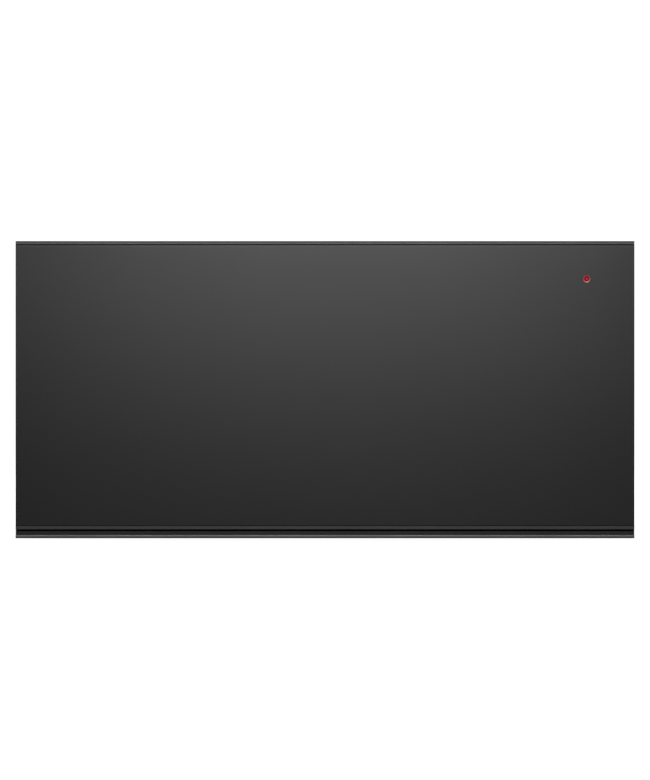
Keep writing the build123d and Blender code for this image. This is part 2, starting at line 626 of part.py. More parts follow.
def inner_cage():
    return ball_cage(inner_ball_x, inner_ball_z, middle_web - RAIL_SHEET - (TIP_GAP + CAGE_SHEET) / 2)


# ------------------------------------------------------------------ housing
def side_panel():
    """Right side: a wall with a flange out at the front and a flange in at the rear."""
    wall = block((wall_x, half_body), (housing_y, rear_y - SHEET), (0, body_top))
    front = block((wall_x, flange_x), (housing_y, housing_y + SHEET), (0, body_top))
    rear = block((wall_x - REAR_FLANGE, half_body), (rear_y - 2 * SHEET, rear_y - SHEET),
                 (REAR_FLANGE_ENDS[0], body_top - REAR_FLANGE_ENDS[1]))
    flange_span = (housing_y - 1, housing_y + 2)
    holes = [rod("y", CABINET_HOLE_RADIUS, flange_span, (cabinet_hole_x, z)) for z in CABINET_HOLE_Z]
    side_span = (wall_x - 1, half_body + 1)
    holes += [screw_hole("x", side_span, at) for at in rail_screws + edge_screws]
    rear_span = (rear_y - 3 * SHEET, rear_y)
    holes += [screw_hole("y", rear_span, at) for at in rear_screws if at[0] > 0]
    return drilled(wall + front + rear, holes)


def base_pan():
    floor = block(both(wall_x), (housing_y, rear_y - SHEET), (0, SHEET))
    kick = block(both(wall_x), (housing_y, housing_y + SHEET), (0, TRIM_HEIGHT))
    piece = floor + kick
    for side in (-1, 1):
        wall = sorted((side * wall_x, side * (wall_x - SHEET)))
        piece += block(wall, (housing_y + BASE_HEM[0], rear_y - 3 * SHEET), (0, BASE_HEM[1]))
    holes = [screw_hole("x", both(wall_x + 1), (y, z)) for y, z in edge_screws if z < body_top / 2]
    return drilled(piece, holes)


def top_panel():
    piece = block(both(wall_x), (housing_y + SHEET, rear_y - SHEET), (body_top - SHEET, body_top))
    for side in (-1, 1):
        wall = sorted((side * wall_x, side * (wall_x - SHEET)))
        piece += block(wall, (housing_y + TOP_HEM[0], rear_y - 3 * SHEET), (body_top - TOP_HEM[1], body_top))
    holes = [screw_hole("x", both(wall_x + 1), (y, z)) for y, z in edge_screws if z > body_top / 2]
    return drilled(piece, holes)


def rear_panel():
    sheet = block(both(half_body), (rear_y - SHEET, rear_y), (0, body_top))
    span = (rear_y - 2 * SHEET, rear_y + 1)
    rows = [fan_z - LOUVRE_DROP + LOUVRE_PITCH * row for row in range(LOUVRE_ROWS)]
    slots = [block(both_about(x, LOUVRE[0]), span, (z, z + LOUVRE[1])) for x in LOUVRE_COLUMNS for z in rows]
    holes = [screw_hole("y", span, at) for at in rear_screws]
    holes.append(rod("y", GLAND_NECK + SCREW_PLAY, span, (gland_x, GLAND_Z)))
    return drilled(sheet, slots + holes)


def top_rail():
    """Beam between the side panels above the door opening."""
    top = body_top - SHEET
    beam = block(both(wall_x), (housing_y, housing_y + SHEET), (cavity_top, body_top))
    beam += block(both(wall_x), (housing_y, housing_y + BEAM_LIPS[0]), (cavity_top, cavity_top + SHEET))
    return beam + block(both(wall_x - SHEET), (housing_y, housing_y + BEAM_LIPS[1]), (top - SHEET, top))


def bottom_trim():
    back = housing_y
    step_y = front_y + TRIM_STEP
    section = [(front_y, 0), (front_y, TRIM_LIP), (step_y, TRIM_LIP), (step_y, TRIM_HEIGHT),
               (back, TRIM_HEIGHT), (back, 0)]
    strip = bar_x(section, both(half_front))
    lip_edge = strip.edges().filter_by(Axis.X).sort_by_distance((0, front_y, TRIM_LIP))[0]
    strip = fillet(lip_edge, TRIM_WALL / 2)
    hollow_z = (TRIM_WALL, TRIM_HEIGHT - TRIM_WALL)
    return strip - block(both(half_front - TRIM_WALL), (step_y + TRIM_WALL, back + 1), hollow_z)


def stop_buffers():
    rows = (CABINET_HOLE_Z[0] - BUFFER_STEP[0], CABINET_HOLE_Z[1] + BUFFER_STEP[1])
    places = [(side * cabinet_hole_x, z) for side in (-1, 1) for z in rows]
    return [rod("y", BUFFER[0], (housing_y - BUFFER[1], housing_y), at) for at in places]


def cavity_liner():
    """Inverted U of sheet round the drawer pan, with lips turned out at its front edges."""
    span = (housing_y, cavity_back_y)
    shell = block(both(cavity_x), span, (slot_top, cavity_top))
    shell -= block(both(cavity_x - SHEET), (span[0] - 1, span[1] + 1), (slot_top - 1, cavity_top - SHEET))
    for side in (-1, 1):
        lip = sorted((side * (cavity_x - SHEET), side * (cavity_x + LINER_EDGE)))
        shell += block(lip, (housing_y, housing_y + SHEET), (slot_top, cavity_top))
    return shell


def insulation_blanket():
    span = (housing_y + INSULATION_START, cavity_back_y)
    outer = block(both(cavity_x + INSULATION), span, (slot_top + 2, cavity_top + INSULATION))
    return outer - block(both(cavity_x), (span[0] - 1, span[1] + 1), (0, cavity_top))


def left_column_cover():
    return left_of(fascia_shell())


def fascia_shell():
    """Moulded cover of the right column, open at the back."""
    shell = block((cavity_x, wall_x), (fascia_y, fascia_back), (slot_top, cavity_top))
    inside_x = (cavity_x + FASCIA_SHEET, wall_x - FASCIA_SHEET)
    inside_z = (slot_top + FASCIA_SHEET, cavity_top - FASCIA_SHEET)
    inside = block(inside_x, (fascia_y + FASCIA_SHEET, fascia_back + 1), inside_z)
    return shell - inside


# ------------------------------------------------------------------ controls
def control_fascia():
    span = (fascia_y - 1, fascia_y + 2 * FASCIA_SHEET)
    body_x, body_z = rocker_body()
    window = block(both_about(column_x, body_x), span, both_about(rocker_z, body_z))
    holes = [rod("y", SPINDLE_RADIUS + 1.0, span, (column_x, knob_z)), window,
             rod("y", LAMP_RADIUS, span, (indicator_x, indicator_z))]
    return drilled(fascia_shell(), holes)


def temperature_knob():
    face = fascia_y - KNOB_GAP
    knob = rod("y", KNOB_RADIUS, (face - KNOB_DEPTH, face), (column_x, knob_z))
    knob = fillet(knob.faces().sort_by(Axis.Y)[0].edges(), KNOB_EDGE)
    notch_x, notch_depth = KNOB_NOTCH
    notch = block(both_about(column_x, notch_x), (face - KNOB_DEPTH - 1, face - KNOB_DEPTH + notch_depth),
                  (knob_z + KNOB_RADIUS / 2, knob_z + KNOB_RADIUS + 1))
    stem = rod("y", SPINDLE_RADIUS, (face - 1, fascia_back - SPINDLE_SHORT), (column_x, knob_z))
    return knob - notch + stem


def selector_switch():
    body = block(both_about(column_x, SWITCH_HALF), (fascia_y + FASCIA_SHEET, fascia_back),
                 both_about(knob_z, SWITCH_HALF))
    bore_end = fascia_back - SPINDLE_SHORT + SPINDLE_FLOOR
    return body - rod("y", SPINDLE_RADIUS + RUN_FIT, (fascia_y, bore_end), (column_x, knob_z))


def rocker_body():
    """Half width and half height of the rocker housing behind its bezel."""
    return (ROCKER_HALF[0] + ROCKER_PLAY + ROCKER_WALL[0], ROCKER_HALF[1] + ROCKER_SWING + ROCKER_WALL[1])


def rocker_housing():
    body_x, body_z = rocker_body()
    room_x = ROCKER_HALF[0] + ROCKER_PLAY
    room_z = ROCKER_HALF[1] + ROCKER_SWING
    rim_x, rim_z = body_x + ROCKER_BEZEL[0], body_z + ROCKER_BEZEL[0]
    bezel = block(both_about(column_x, rim_x), (bezel_y, fascia_y), both_about(rocker_z, rim_z))
    body = block(both_about(column_x, body_x), (bezel_y, fascia_back), both_about(rocker_z, body_z))
    room_y = (bezel_y - 1, fascia_y + ROCKER_ROOM)
    room = block(both_about(column_x, room_x), room_y, both_about(rocker_z, room_z))
    bore = rod("x", PIVOT_RADIUS + RUN_FIT, both_about(column_x, room_x + PIVOT_END[1]), rocker_pivot)
    return bezel + body - room - bore


def power_rocker():
    """Rocker in its on position, tilted about its pivot."""
    half_x, half_z = ROCKER_HALF
    shoulder, back = ROCKER_BACK
    crest = ROCKER_FACE + half_z * tan(radians(ROCKER_TILT))
    foot = ROCKER_FOOT * half_z
    section = [(-crest, half_z), (-ROCKER_FACE, 0), (-crest, -half_z), (-shoulder, -half_z), (back, -foot),
               (back, foot), (-shoulder, half_z)]
    body = bar_x(section, both(half_x))
    body += rod("x", PIVOT_RADIUS, both(half_x + ROCKER_PLAY + PIVOT_END[0]), (0, 0))
    return Pos(column_x, rocker_pivot[0], rocker_pivot[1]) * Rot(-ROCKER_TILT, 0, 0) * body


def indicator_lamp():
    tip = liner_back + PUSH_IN + LAMP_GAP
    tube = rod("y", LAMP_RADIUS, (tip, fascia_back), (indicator_x, indicator_z))
    return fillet(tube.faces().sort_by(Axis.Y)[0].edges(), 1.0)


def control_board():
    x = (cavity_x + FASCIA_SHEET / 2, wall_x - FASCIA_SHEET / 2)
    plate = block(x, (fascia_back, fascia_back + BOARD), (knob_z - BOARD_DROP, cavity_top - FASCIA_SHEET / 2))
    plug = block(both_about(loom_x, LOOM_PLUG[0]), (fascia_back + BOARD, loom_y[0]),
                 both_about(loom_z, LOOM_PLUG[1]))
    return [plate, plug]


# ------------------------------------------------------------------ heating
def fan_cover():
    """Perforated cover over fan and heater, flanged to the cavity back."""
    span = (cover_front, cavity_back_y)
    flange_z = (cover_z[0] - COVER_FLANGE, cover_z[1] + COVER_FLANGE)
    cover = block(both(COVER_HALF), span, cover_z)
    cover += block(both(COVER_HALF + COVER_FLANGE), (cavity_back_y - SHEET, cavity_back_y), flange_z)
    cover -= block(both(COVER_HALF - SHEET), (cover_front + SHEET, cavity_back_y + 1),
                   (cover_z[0] + SHEET, cover_z[1] - SHEET))
    face = (cover_front - 1, cover_front + 2 * SHEET)
    pitch, hole_radius = PERFORATION
    cutters = []
    for ring in range(PERFORATION_RINGS):
        count = max(1, 6 * ring)
        for step in range(count):
            angle = radians(360 * step / count)
            at = (pitch * ring * cos(angle), fan_z + pitch * ring * sin(angle))
            cutters.append(rod("y", hole_radius, face, at))
    for side in (-1, 1):
        for column in range(COVER_SLOT_COUNT):
            x = side * (COVER_HALF - COVER_SLOT_INSET - COVER_SLOT_PITCH * column)
            cutters.append(block(both_about(x, COVER_SLOT[0]), face, both_about(fan_z, COVER_SLOT[1])))
    cutters += [screw_hole("y", (cavity_back_y - 2 * SHEET, cavity_back_y + 1), at) for at in cover_screws]
    return drilled(cover, cutters)


def fan_impeller():
    plate = rod("y", fan_radius, (fan_y[1] - SHEET, fan_y[1]), (0, fan_z))
    plate += rod("y", HUB[0], (fan_y[0] + HUB[1], fan_y[1]), (0, fan_z))
    blade_x = (BLADE_START * fan_radius, fan_radius - BLADE_END)
    blade = block(blade_x, (fan_y[0], fan_y[1] - SHEET / 2), both(SHEET / 2))
    for index in range(FAN_BLADES):
        plate += Pos(0, 0, fan_z) * Rot(0, 360 * index / FAN_BLADES, 0) * blade
    return plate - rod("y", SHAFT_RADIUS, (fan_y[0], fan_y[1] + 1), (0, fan_z))


def fan_shaft():
    shaft = rod("y", SHAFT_RADIUS, (fan_y[0], bridge_rear_y + 2.0), (0, fan_z))
    return shaft + rod("y", ROTOR_RADIUS, core_y, (0, fan_z))


def ring_heater():
    """Open ring round the fan; both ends bend back through the cavity back."""
    start = radians(90 + HEATER_OPENING)
    end = radians(450 - HEATER_OPENING)
    leg_y = insulated_y + 8.0

    def on_ring(angle):
        return Vector(heater_radius * cos(angle), heater_y, fan_z + heater_radius * sin(angle))

    ring = ThreePointArc(on_ring(start), on_ring(radians(270)), on_ring(end))
    away = Vector(-sin(end), 0, cos(end))
    back = Vector(0, 1, 0)
    corner_end = on_ring(end) + away * HEATER_BEND + back * HEATER_BEND
    corner = TangentArc(on_ring(end), corner_end, tangent=away)
    leg_end = Vector(corner_end.X, leg_y, corner_end.Z)
    right_half = corner + Line(corner_end, leg_end)
    path = Wire((ring + right_half + mirror(right_half, about=Plane.YZ)).edges())
    tube = sweep(Plane(origin=leg_end, z_dir=(0, -1, 0)) * Circle(HEATER_TUBE), path=path)
    plate_x = both(abs(corner_end.X) + 12.0)
    plate = block(plate_x, (cavity_back_y - SHEET, cavity_back_y), both_about(corner_end.Z, 8.0))
    return tube + plate


def heater_leg():
    """X and Z of the heater's right leg."""
    end = radians(90 - HEATER_OPENING)
    bend = HEATER_BEND
    return (heater_radius * cos(end) - bend * sin(end), fan_z + heater_radius * sin(end) + bend * cos(end))


def back_cutters(span, margin):
    """Openings for what passes through the cavity back, widened by margin."""
    leg_x, leg_z = heater_leg()
    cutters = [rod("y", HEATER_TUBE + margin, span, (side * leg_x, leg_z)) for side in (-1, 1)]
    cutters.append(rod("y", SHAFT_RADIUS + 2.0 + margin, span, (0, fan_z)))
    cutters.append(rod("y", SENSOR[0] + margin, span, sensor_at))
    cutters.append(rod("y", LOOM_RADIUS + LOOM_PASSAGE, span, (loom_x, loom_z)))
    cutters.append(block(both(catch_half + 1.0), span, (-1, catch_top + 1.0)))
    return cutters


def cavity_back():
    span = (cavity_back_y, cavity_back_y + SHEET)
    sheet = block(both(wall_x - SHEET), span, (SHEET, body_top - SHEET))
    wide = (span[0] - 1, span[1] + 1)
    holes = back_cutters(wide, 0.3) + [screw_hole("y", wide, at) for at in cover_screws]
    return drilled(sheet, holes)


def back_insulation():
    span = (cavity_back_y + SHEET, insulated_y)
    slab = block(both(cavity_x - BACK_SLAB_INSET), span, (BACK_SLAB_FOOT, cavity_top))
    wide = (span[0] - 1, span[1] + 1)
    cutters = back_cutters(wide, SLAB_PLAY)
    cutters += [rod("y", POST_RADIUS + 1.0, wide, at) for at in post_places]
    cutters.append(rod("y", CUTOUT_RADIUS + SLAB_PLAY, wide, cutout_at))
    cutters += [rod("y", SCREW_HEAD[0], wide, at) for at in cover_screws]
    return drilled(slab, cutters)


def below_shaft(edges):
    """Z span between two edges given below the shaft."""
    return (fan_z - edges[0], fan_z - edges[1])


def motor_core():
    iron = block(both(CORE[0]), core_y, (fan_z - CORE_REACH[0], fan_z + CORE_REACH[1]))
    through = (core_y[0] - 1, core_y[1] + 1)
    iron -= rod("y", ROTOR_RADIUS + AIR_GAP, through, (0, fan_z))
    return iron - block(both(CORE_WINDOW[0]), through, below_shaft(CORE_WINDOW[1:]))


def motor_coil():
    y = (core_y[0] - COIL_DEPTH, core_y[1] + COIL_DEPTH)
    coil = block(both(COIL[0]), y, below_shaft(COIL[1:]))
    return coil - block(both(CORE[0]), core_y, below_shaft((CORE_REACH[0], CORE_WINDOW[1])))


def motor_bridges():
    """Front bridge on posts from the cavity back, and rear bridge, each with a bearing for the shaft."""
    half_x, plate = BRIDGE
    low_z = fan_z - BRIDGE_BELOW
    front = block(both(half_x), (core_y[0] - plate, core_y[0]), (low_z, fan_z + BRIDGE_FOOT))
    front += block(both(half_x), (insulated_y, insulated_y + plate), both_about(fan_z, BRIDGE_FOOT))
    front += rod("y", BEARING_RADIUS, (insulated_y, core_y[0]), (0, fan_z))
    for at in post_places:
        front += rod("y", POST_RADIUS, (cavity_back_y + SHEET, insulated_y + plate / 2), at)
    rear = block(both(half_x), (core_y[1], core_y[1] + plate), (low_z, fan_z + CORE_REACH[1]))
    rear += rod("y", BEARING_RADIUS, (core_y[1], bridge_rear_y), (0, fan_z))
    bore = rod("y", SHAFT_RADIUS + RUN_FIT, (insulated_y - 1, bridge_rear_y + 1), (0, fan_z))
    return [front - bore, rear - bore]


def temperature_sensor():
    radius, before, behind = SENSOR
    probe = rod("y", radius, (cavity_back_y - before, cavity_back_y + behind), sensor_at)
    return probe + rod("y", SENSOR_COLLAR[0], (cavity_back_y - SENSOR_COLLAR[1], cavity_back_y), sensor_at)


def thermal_cutout():
    half_x, half_z, length, offset = CUTOUT_PIN
    can_end = insulated_y + CUTOUT_PROUD
    can = rod("y", CUTOUT_RADIUS, (cavity_back_y + SHEET, can_end), cutout_at)
    pin_y = (can_end - 0.5, can_end + length)
    pins = [block(both_about(cutout_at[0] + dx, half_x), pin_y, both_about(cutout_at[1], half_z))
            for dx in both(offset)]
    return can + pins[0] + pins[1]


# ------------------------------------------------------------------ electrics at the rear
def relay_board():
    plate = block(board_x, board_y, board_z)
    span = (board_y[1], rear_y - SHEET)
    radius, inset = STANDOFF
    corners = [(x, z) for x in (board_x[0] + inset, board_x[1] - inset)
               for z in (board_z[0] + inset, board_z[1] - inset)]
    standoffs = [rod("y", radius, span, at) for at in corners]
    raised = [block((board_x[0] + x, board_x[0] + x + width), (board_y[0] - depth, board_y[0]),
                    (board_z[0] + z, board_z[0] + z + RELAY_HEIGHT)) for x, z, width, depth in RELAYS]
    plug_y = (loom_y[1] - RELAY_PLUG[1], board_y[0])
    plug = block((board_x[1] - RELAY_PLUG[0], board_x[1]), plug_y, both_about(loom_z, LOOM_PLUG[1]))
    return [plate, plug] + standoffs + raised


def terminal_block():
    half_x, depth = TERMINALS
    back = rear_y - SHEET
    span_z = (GLAND_Z + TERMINAL_RISE[0], GLAND_Z + TERMINAL_RISE[1])
    body = block(both_about(gland_x, half_x), (back - depth, back), span_z)
    well_x, well_z, well_depth = TERMINAL_WELL
    well_y = (back - depth - 1, back - depth + well_depth)
    wells = [block(both_about(gland_x + dx, well_x), well_y, both_about(sum(span_z) / 2, well_z))
             for dx in (-TERMINAL_PITCH, 0.0, TERMINAL_PITCH)]
    return drilled(body, wells)


def cable_gland():
    at = (gland_x, GLAND_Z)
    inside = rear_y - SHEET
    body = rod("y", GLAND_NECK, (inside - GLAND_INSIDE, rear_y + 1), at)
    body += rod("y", GLAND_FLANGE[0], (rear_y, rear_y + GLAND_FLANGE[1]), at)
    body += rod("y", GLAND_CAP, (rear_y + GLAND_FLANGE[1] - 1, gland_y), at)
    bore = rod("y", GLAND_BORE, (inside - GLAND_INSIDE - 1, gland_y + 1), at)
    nut = rod("y", GLAND_NUT[0], (inside - GLAND_NUT[1], inside), at)
    nut -= rod("y", GLAND_NECK + SCREW_PLAY, (inside - GLAND_NUT[1] - 1, rear_y), at)
    return [body - bore, nut]


def wiring_loom():
    start = (loom_x, loom_y[0], loom_z)
    corner = (loom_x, loom_y[1], loom_z)
    end = (board_x[1], loom_y[1], loom_z)
    route = FilletPolyline(start, corner, end, radius=LOOM_BEND)
    return sweep(Plane(origin=start, z_dir=(0, 1, 0)) * Circle(LOOM_RADIUS), path=route)


def loom_clips():
    clips = []
    thick, half = CLIP
    for y in with_middle(housing_y + CLIP_INSET[0], cavity_back_y - CLIP_INSET[1]):
        ring = rod("y", LOOM_RADIUS + thick, both_about(y, half), (loom_x, loom_z))
        tab = block((loom_x, wall_x), both_about(y, half), both_about(loom_z, thick))
        clips.append(ring + tab - rod("y", LOOM_RADIUS, both_about(y, half + 1), (loom_x, loom_z)))
    return clips


def housing_screws():
    right = [screw("x", half_body, -1, at, SHEET + RAIL_SHEET) for at in rail_screws]
    right += [screw("x", half_body, -1, at, 2 * SHEET) for at in edge_screws]
    rear = [screw("y", rear_y, -1, at, 2 * SHEET) for at in rear_screws]
    cover = [screw("y", cavity_back_y - SHEET, 1, at, 2 * SHEET) for at in cover_screws]
    return right + [left_of(piece) for piece in right] + rear + cover


# ------------------------------------------------------------------ push-to-open catch
def latch_housing():
    """Pedestal on the base pan with the channel that the fork slides in."""
    body = block(both(catch_half), catch_y, (SHEET, catch_top))
    over = FORK_OVER + CATCH_PLAY
    room_y = (catch_y[0] - 1, catch_y[1] - CATCH_END)
    channel = block(both(FORK_HALF + CATCH_PLAY), room_y, (BLADE_Z[0] - over, BLADE_Z[1] + over))
    tunnel_z = (CATCH_TUNNEL[0], BLADE_Z[0] - CATCH_TUNNEL[1])
    tunnel = block(both(FORK_HALF), (catch_y[0] - 1, catch_y[1] + 1), tunnel_z)
    return body - channel - tunnel


def latch_carriage():
    fork = block(both(FORK_HALF), fork_y, (BLADE_Z[0] - FORK_OVER, BLADE_Z[1] + FORK_OVER))
    return fork - block(both(BLADE[0] + FORK_GAP), (fork_y[0] - 1, fork_y[1] - FORK_END), (0, 2 * BLADE_Z[1]))


def latch_spring():
    middle = sum(BLADE_Z) / 2
    room = (fork_y[1], catch_y[1] - CATCH_END)
    length = room[1] - room[0] - 2 * SPRING_WIRE
    coil = Helix(pitch=length / SPRING_TURNS, height=length, radius=SPRING_RADIUS,
                 center=(0, room[0] + SPRING_WIRE, middle), direction=(0, 1, 0))
    section = Plane(origin=coil @ 0, z_dir=coil % 0) * Circle(SPRING_WIRE)
    return sweep(section, path=coil, is_frenet=True)


# ------------------------------------------------------------------ all sub-parts
MODEL = {
    "front_glass": front_glass,
    "door_top_profile": door_top_profile,
    "door_bottom_profile": door_bottom_profile,
    "door_liner": door_liner,
    "door_insulation": door_insulation,
    "door_gasket": door_gasket,
    "light_guide": light_guide,
    "indicator_bezel": indicator_bezel,
    "drawer_pan": drawer_pan,
    "nonslip_mat": nonslip_mat,
    "striker_blade": striker_blade,
    "drawer_screws": drawer_screws,
    "base_pan": base_pan,
    "top_panel": top_panel,
    "rear_panel": rear_panel,
    "top_rail": top_rail,
    "bottom_trim": bottom_trim,
    "stop_buffers": stop_buffers,
    "cavity_liner": cavity_liner,
    "insulation_blanket": insulation_blanket,
    "left_column_cover": left_column_cover,
    "control_fascia": control_fascia,
    "temperature_knob": temperature_knob,
    "selector_switch": selector_switch,
    "rocker_housing": rocker_housing,
    "power_rocker": power_rocker,
    "indicator_lamp": indicator_lamp,
    "control_board": control_board,
    "fan_cover": fan_cover,
    "fan_impeller": fan_impeller,
    "fan_shaft": fan_shaft,
    "ring_heater": ring_heater,
    "cavity_back": cavity_back,
    "back_insulation": back_insulation,
    "motor_core": motor_core,
    "motor_coil": motor_coil,
    "motor_bridges": motor_bridges,
    "temperature_sensor": temperature_sensor,
    "thermal_cutout": thermal_cutout,
    "relay_board": relay_board,
    "terminal_block": terminal_block,
    "cable_gland": cable_gland,
    "wiring_loom": wiring_loom,
    "loom_clips": loom_clips,
    "housing_screws": housing_screws,
    "latch_housing": latch_housing,
    "latch_carriage": latch_carriage,
    "latch_spring": latch_spring,
}

# Pieces that come in pairs: built on the right and mirrored for the left.
PAIRS = {
    "side_panel": side_panel,
    "outer_rail": outer_rail,
    "middle_rail": middle_rail,
    "outer_ball_cage": outer_cage,
    "inner_ball_cage": inner_cage,
}

# Twins on the drawer that share one sub-part, the right one and the left one.
TWINS = {
    "carrier_brackets": carrier_bracket,
    "inner_rails": inner_rail,
}


def as_list(pieces):
    """Solids of one piece or of a list of pieces."""
    group = pieces if isinstance(pieces, list) else [pieces]
    return [solid for piece in group for solid in piece.solids()]


def save(name, solids):
    """Write one sub-part; a group of pieces keeps its separate solids."""
    shape = solids[0] if len(solids) == 1 else Compound(children=solids)
    export_step(shape, f"parts/{name}.step")


def main():
    os.makedirs("parts", exist_ok=True)
    for name, make in MODEL.items():
        save(name, as_list(make()))
    for name, make in PAIRS.items():
        right = as_list(make())
        save(f"right_{name}", right)
        save(f"left_{name}", [left_of(solid) for solid in right])
    for name, make in TWINS.items():
        right = as_list(make())
        save(name, right + [left_of(solid) for solid in right])


if __name__ == "__main__":
    main()
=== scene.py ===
"""Looks of a built-in warming drawer: the pieces that show, their finishes, and the studio round them.

Metres. +Z is up, the front looks along -Y and +X is to the right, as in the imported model. Every place comes
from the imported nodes, so a piece sits where its node sits and moves with its body.
"""

import logging
import math
from dataclasses import dataclass
from enum import Enum
from typing import Callable, Iterable, Sequence

import bmesh
import bpy
from mathutils import Matrix, Vector


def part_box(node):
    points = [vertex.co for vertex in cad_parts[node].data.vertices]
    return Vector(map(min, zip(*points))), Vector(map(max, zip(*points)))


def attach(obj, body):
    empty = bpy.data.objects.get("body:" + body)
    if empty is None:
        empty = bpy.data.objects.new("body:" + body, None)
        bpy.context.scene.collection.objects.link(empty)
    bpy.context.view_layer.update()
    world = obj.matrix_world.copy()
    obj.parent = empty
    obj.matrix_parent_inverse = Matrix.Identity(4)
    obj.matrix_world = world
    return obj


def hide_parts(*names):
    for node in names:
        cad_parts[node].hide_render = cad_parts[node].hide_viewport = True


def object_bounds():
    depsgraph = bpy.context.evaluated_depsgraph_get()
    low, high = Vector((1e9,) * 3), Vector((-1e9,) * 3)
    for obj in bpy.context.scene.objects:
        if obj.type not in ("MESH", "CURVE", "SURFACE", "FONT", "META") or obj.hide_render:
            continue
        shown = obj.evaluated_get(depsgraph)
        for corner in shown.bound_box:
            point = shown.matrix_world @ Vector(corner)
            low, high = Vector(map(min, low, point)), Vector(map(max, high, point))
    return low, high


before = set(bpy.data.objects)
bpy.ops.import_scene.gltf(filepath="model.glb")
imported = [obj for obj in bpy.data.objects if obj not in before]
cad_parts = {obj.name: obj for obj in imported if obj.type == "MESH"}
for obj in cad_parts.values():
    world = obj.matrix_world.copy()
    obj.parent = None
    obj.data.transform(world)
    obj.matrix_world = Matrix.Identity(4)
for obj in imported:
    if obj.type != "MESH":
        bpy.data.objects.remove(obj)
cad_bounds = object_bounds()

logging.basicConfig(level=logging.INFO, format="%(name)s: %(message)s")
log = logging.getLogger("warming_drawer")

BMesh = bmesh.types.BMesh
Vert = bmesh.types.BMVert
Edge = bmesh.types.BMEdge
Face = bmesh.types.BMFace
Socket = bpy.types.NodeSocket
Point = tuple[float, float]
Span = tuple[float, float]
Colour = tuple[float, float, float]

MM = 0.001
PUSH_ROOM = 3.05 * MM  # what the push that releases the catch takes from the soft pieces behind the door
MERGE = 1e-7  # vertices nearer than this become one
NEAR = 1e-6  # places nearer than this are the same
SLACK = 1e-5  # the same, for a mesh that comes from the solids
PARALLEL = 0.999  # cosine from which a direction counts as along an axis
LONG_EDGE = 4.0 * MM  # edges longer than this, and sharper than the next, are the ones that show
SHARP = math.radians(60.0)
BEVEL = {"profile": 0.5, "material": -1, "clamp_overlap": True}


class Axis(Enum):
    """A direction of the shared frame."""

    X = 0
    Y = 1
    Z = 2

    @property
    def unit(self) -> Vector:
        """Unit vector along the axis."""
        return Vector([float(index == self.value) for index in range(3)])

    @property
    def others(self) -> tuple[int, int]:
        """Indices of the two other axes, in X, Y, Z order."""
        left = [index for index in range(3) if index != self.value]
        return left[0], left[1]

    @property
    def stand(self) -> Matrix:
        """Turn that lays a flat ring, drawn round Z, square to this axis."""
        return turned(Axis.Z.unit, self.unit)

    def place(self, flat: Point, along: float) -> Vector:
        """Point from its two other coordinates and its place along the axis."""
        return Vector((*flat[:self.value], along, *flat[self.value:]))


@dataclass(frozen=True)
class Box:
    """Lowest and highest corner of a piece."""

    low: Vector
    high: Vector

    @classmethod
    def of(cls, node: str) -> "Box":
        """Box of a CAD node at rest."""
        return cls(*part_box(node))

    @property
    def centre(self) -> Vector:
        """Middle of the box."""
        return (self.low + self.high) / 2

    @property
    def size(self) -> Vector:
        """Lengths of the box along X, Y and Z."""
        return self.high - self.low

    def span(self, axis: Axis) -> Span:
        """Low and high place along one axis."""
        return self.low[axis.value], self.high[axis.value]


# ---------------------------------------------------------------- mesh tools
def turned(start: Vector, end: Vector) -> Matrix:
    """Turn that takes one direction to another."""
    return start.rotation_difference(end).to_matrix().to_4x4()


def ordered(first: float, second: float) -> Span:
    """Span between two places, whichever is lower."""
    return min(first, second), max(first, second)


def only(kind: type, geom: Iterable) -> list:
    """Vertices, edges or faces out of what an operator made."""
    return [item for item in geom if isinstance(item, kind)]


def edges_of(verts: Iterable[Vert]) -> list[Edge]:
    """Edges that end at any of some vertices."""
    return list({edge for vert in verts for edge in vert.link_edges})


def edges_at(bm: BMesh, test: Callable[[Vector], bool]) -> list[Edge]:
    """Edges whose two ends both pass a test of their place."""
    return [edge for edge in bm.edges if all(test(vert.co) for vert in edge.verts)]


def along(edge: Edge, axis: Axis) -> bool:
    """Whether an edge runs along an axis."""
    run = edge.verts[1].co - edge.verts[0].co
    return run.length > MERGE and abs(run[axis.value]) > PARALLEL * run.length


def add_block(bm: BMesh, low: Sequence[float], high: Sequence[float]) -> list[Vert]:
    """Add a box between two corners.

    Args:
        bm: Mesh that gets the box.
        low: Lowest corner.
        high: Highest corner.

    Returns:
        The box's eight vertices.
    """
    low, high = Vector(low), Vector(high)
    sizes = Matrix.Diagonal((*(high - low), 1.0))
    return bmesh.ops.create_cube(bm, size=1.0, matrix=Matrix.Translation((low + high) / 2) @ sizes)["verts"]


def add_loop(bm: BMesh, points: Iterable[Vector], closed: bool = True) -> list[Edge]:
    """Add a chain of edges through a few corners.

    Args:
        bm: Mesh that gets the chain.
        points: Corners in order.
        closed: Whether the last corner joins the first.

    Returns:
        The new edges.
    """
    verts = [bm.verts.new(point) for point in points]
    pairs = list(zip(verts, verts[1:] + verts[:1]))
    return [bm.edges.new(pair) for pair in (pairs if closed else pairs[:-1])]


def add_ring(bm: BMesh, axis: Axis, centre: Vector, radius: float, steps: int) -> list[Edge]:
    """Add a circle of edges square to an axis.

    Args:
        bm: Mesh that gets the circle.
        axis: Axis of the circle.
        centre: Its centre.
        radius: Its radius.
        steps: How many edges it has.

    Returns:
        The circle's edges.
    """
    place = Matrix.Translation(centre) @ axis.stand
    made = bmesh.ops.create_circle(bm, cap_ends=False, segments=steps, radius=radius, matrix=place)
    return edges_of(made["verts"])


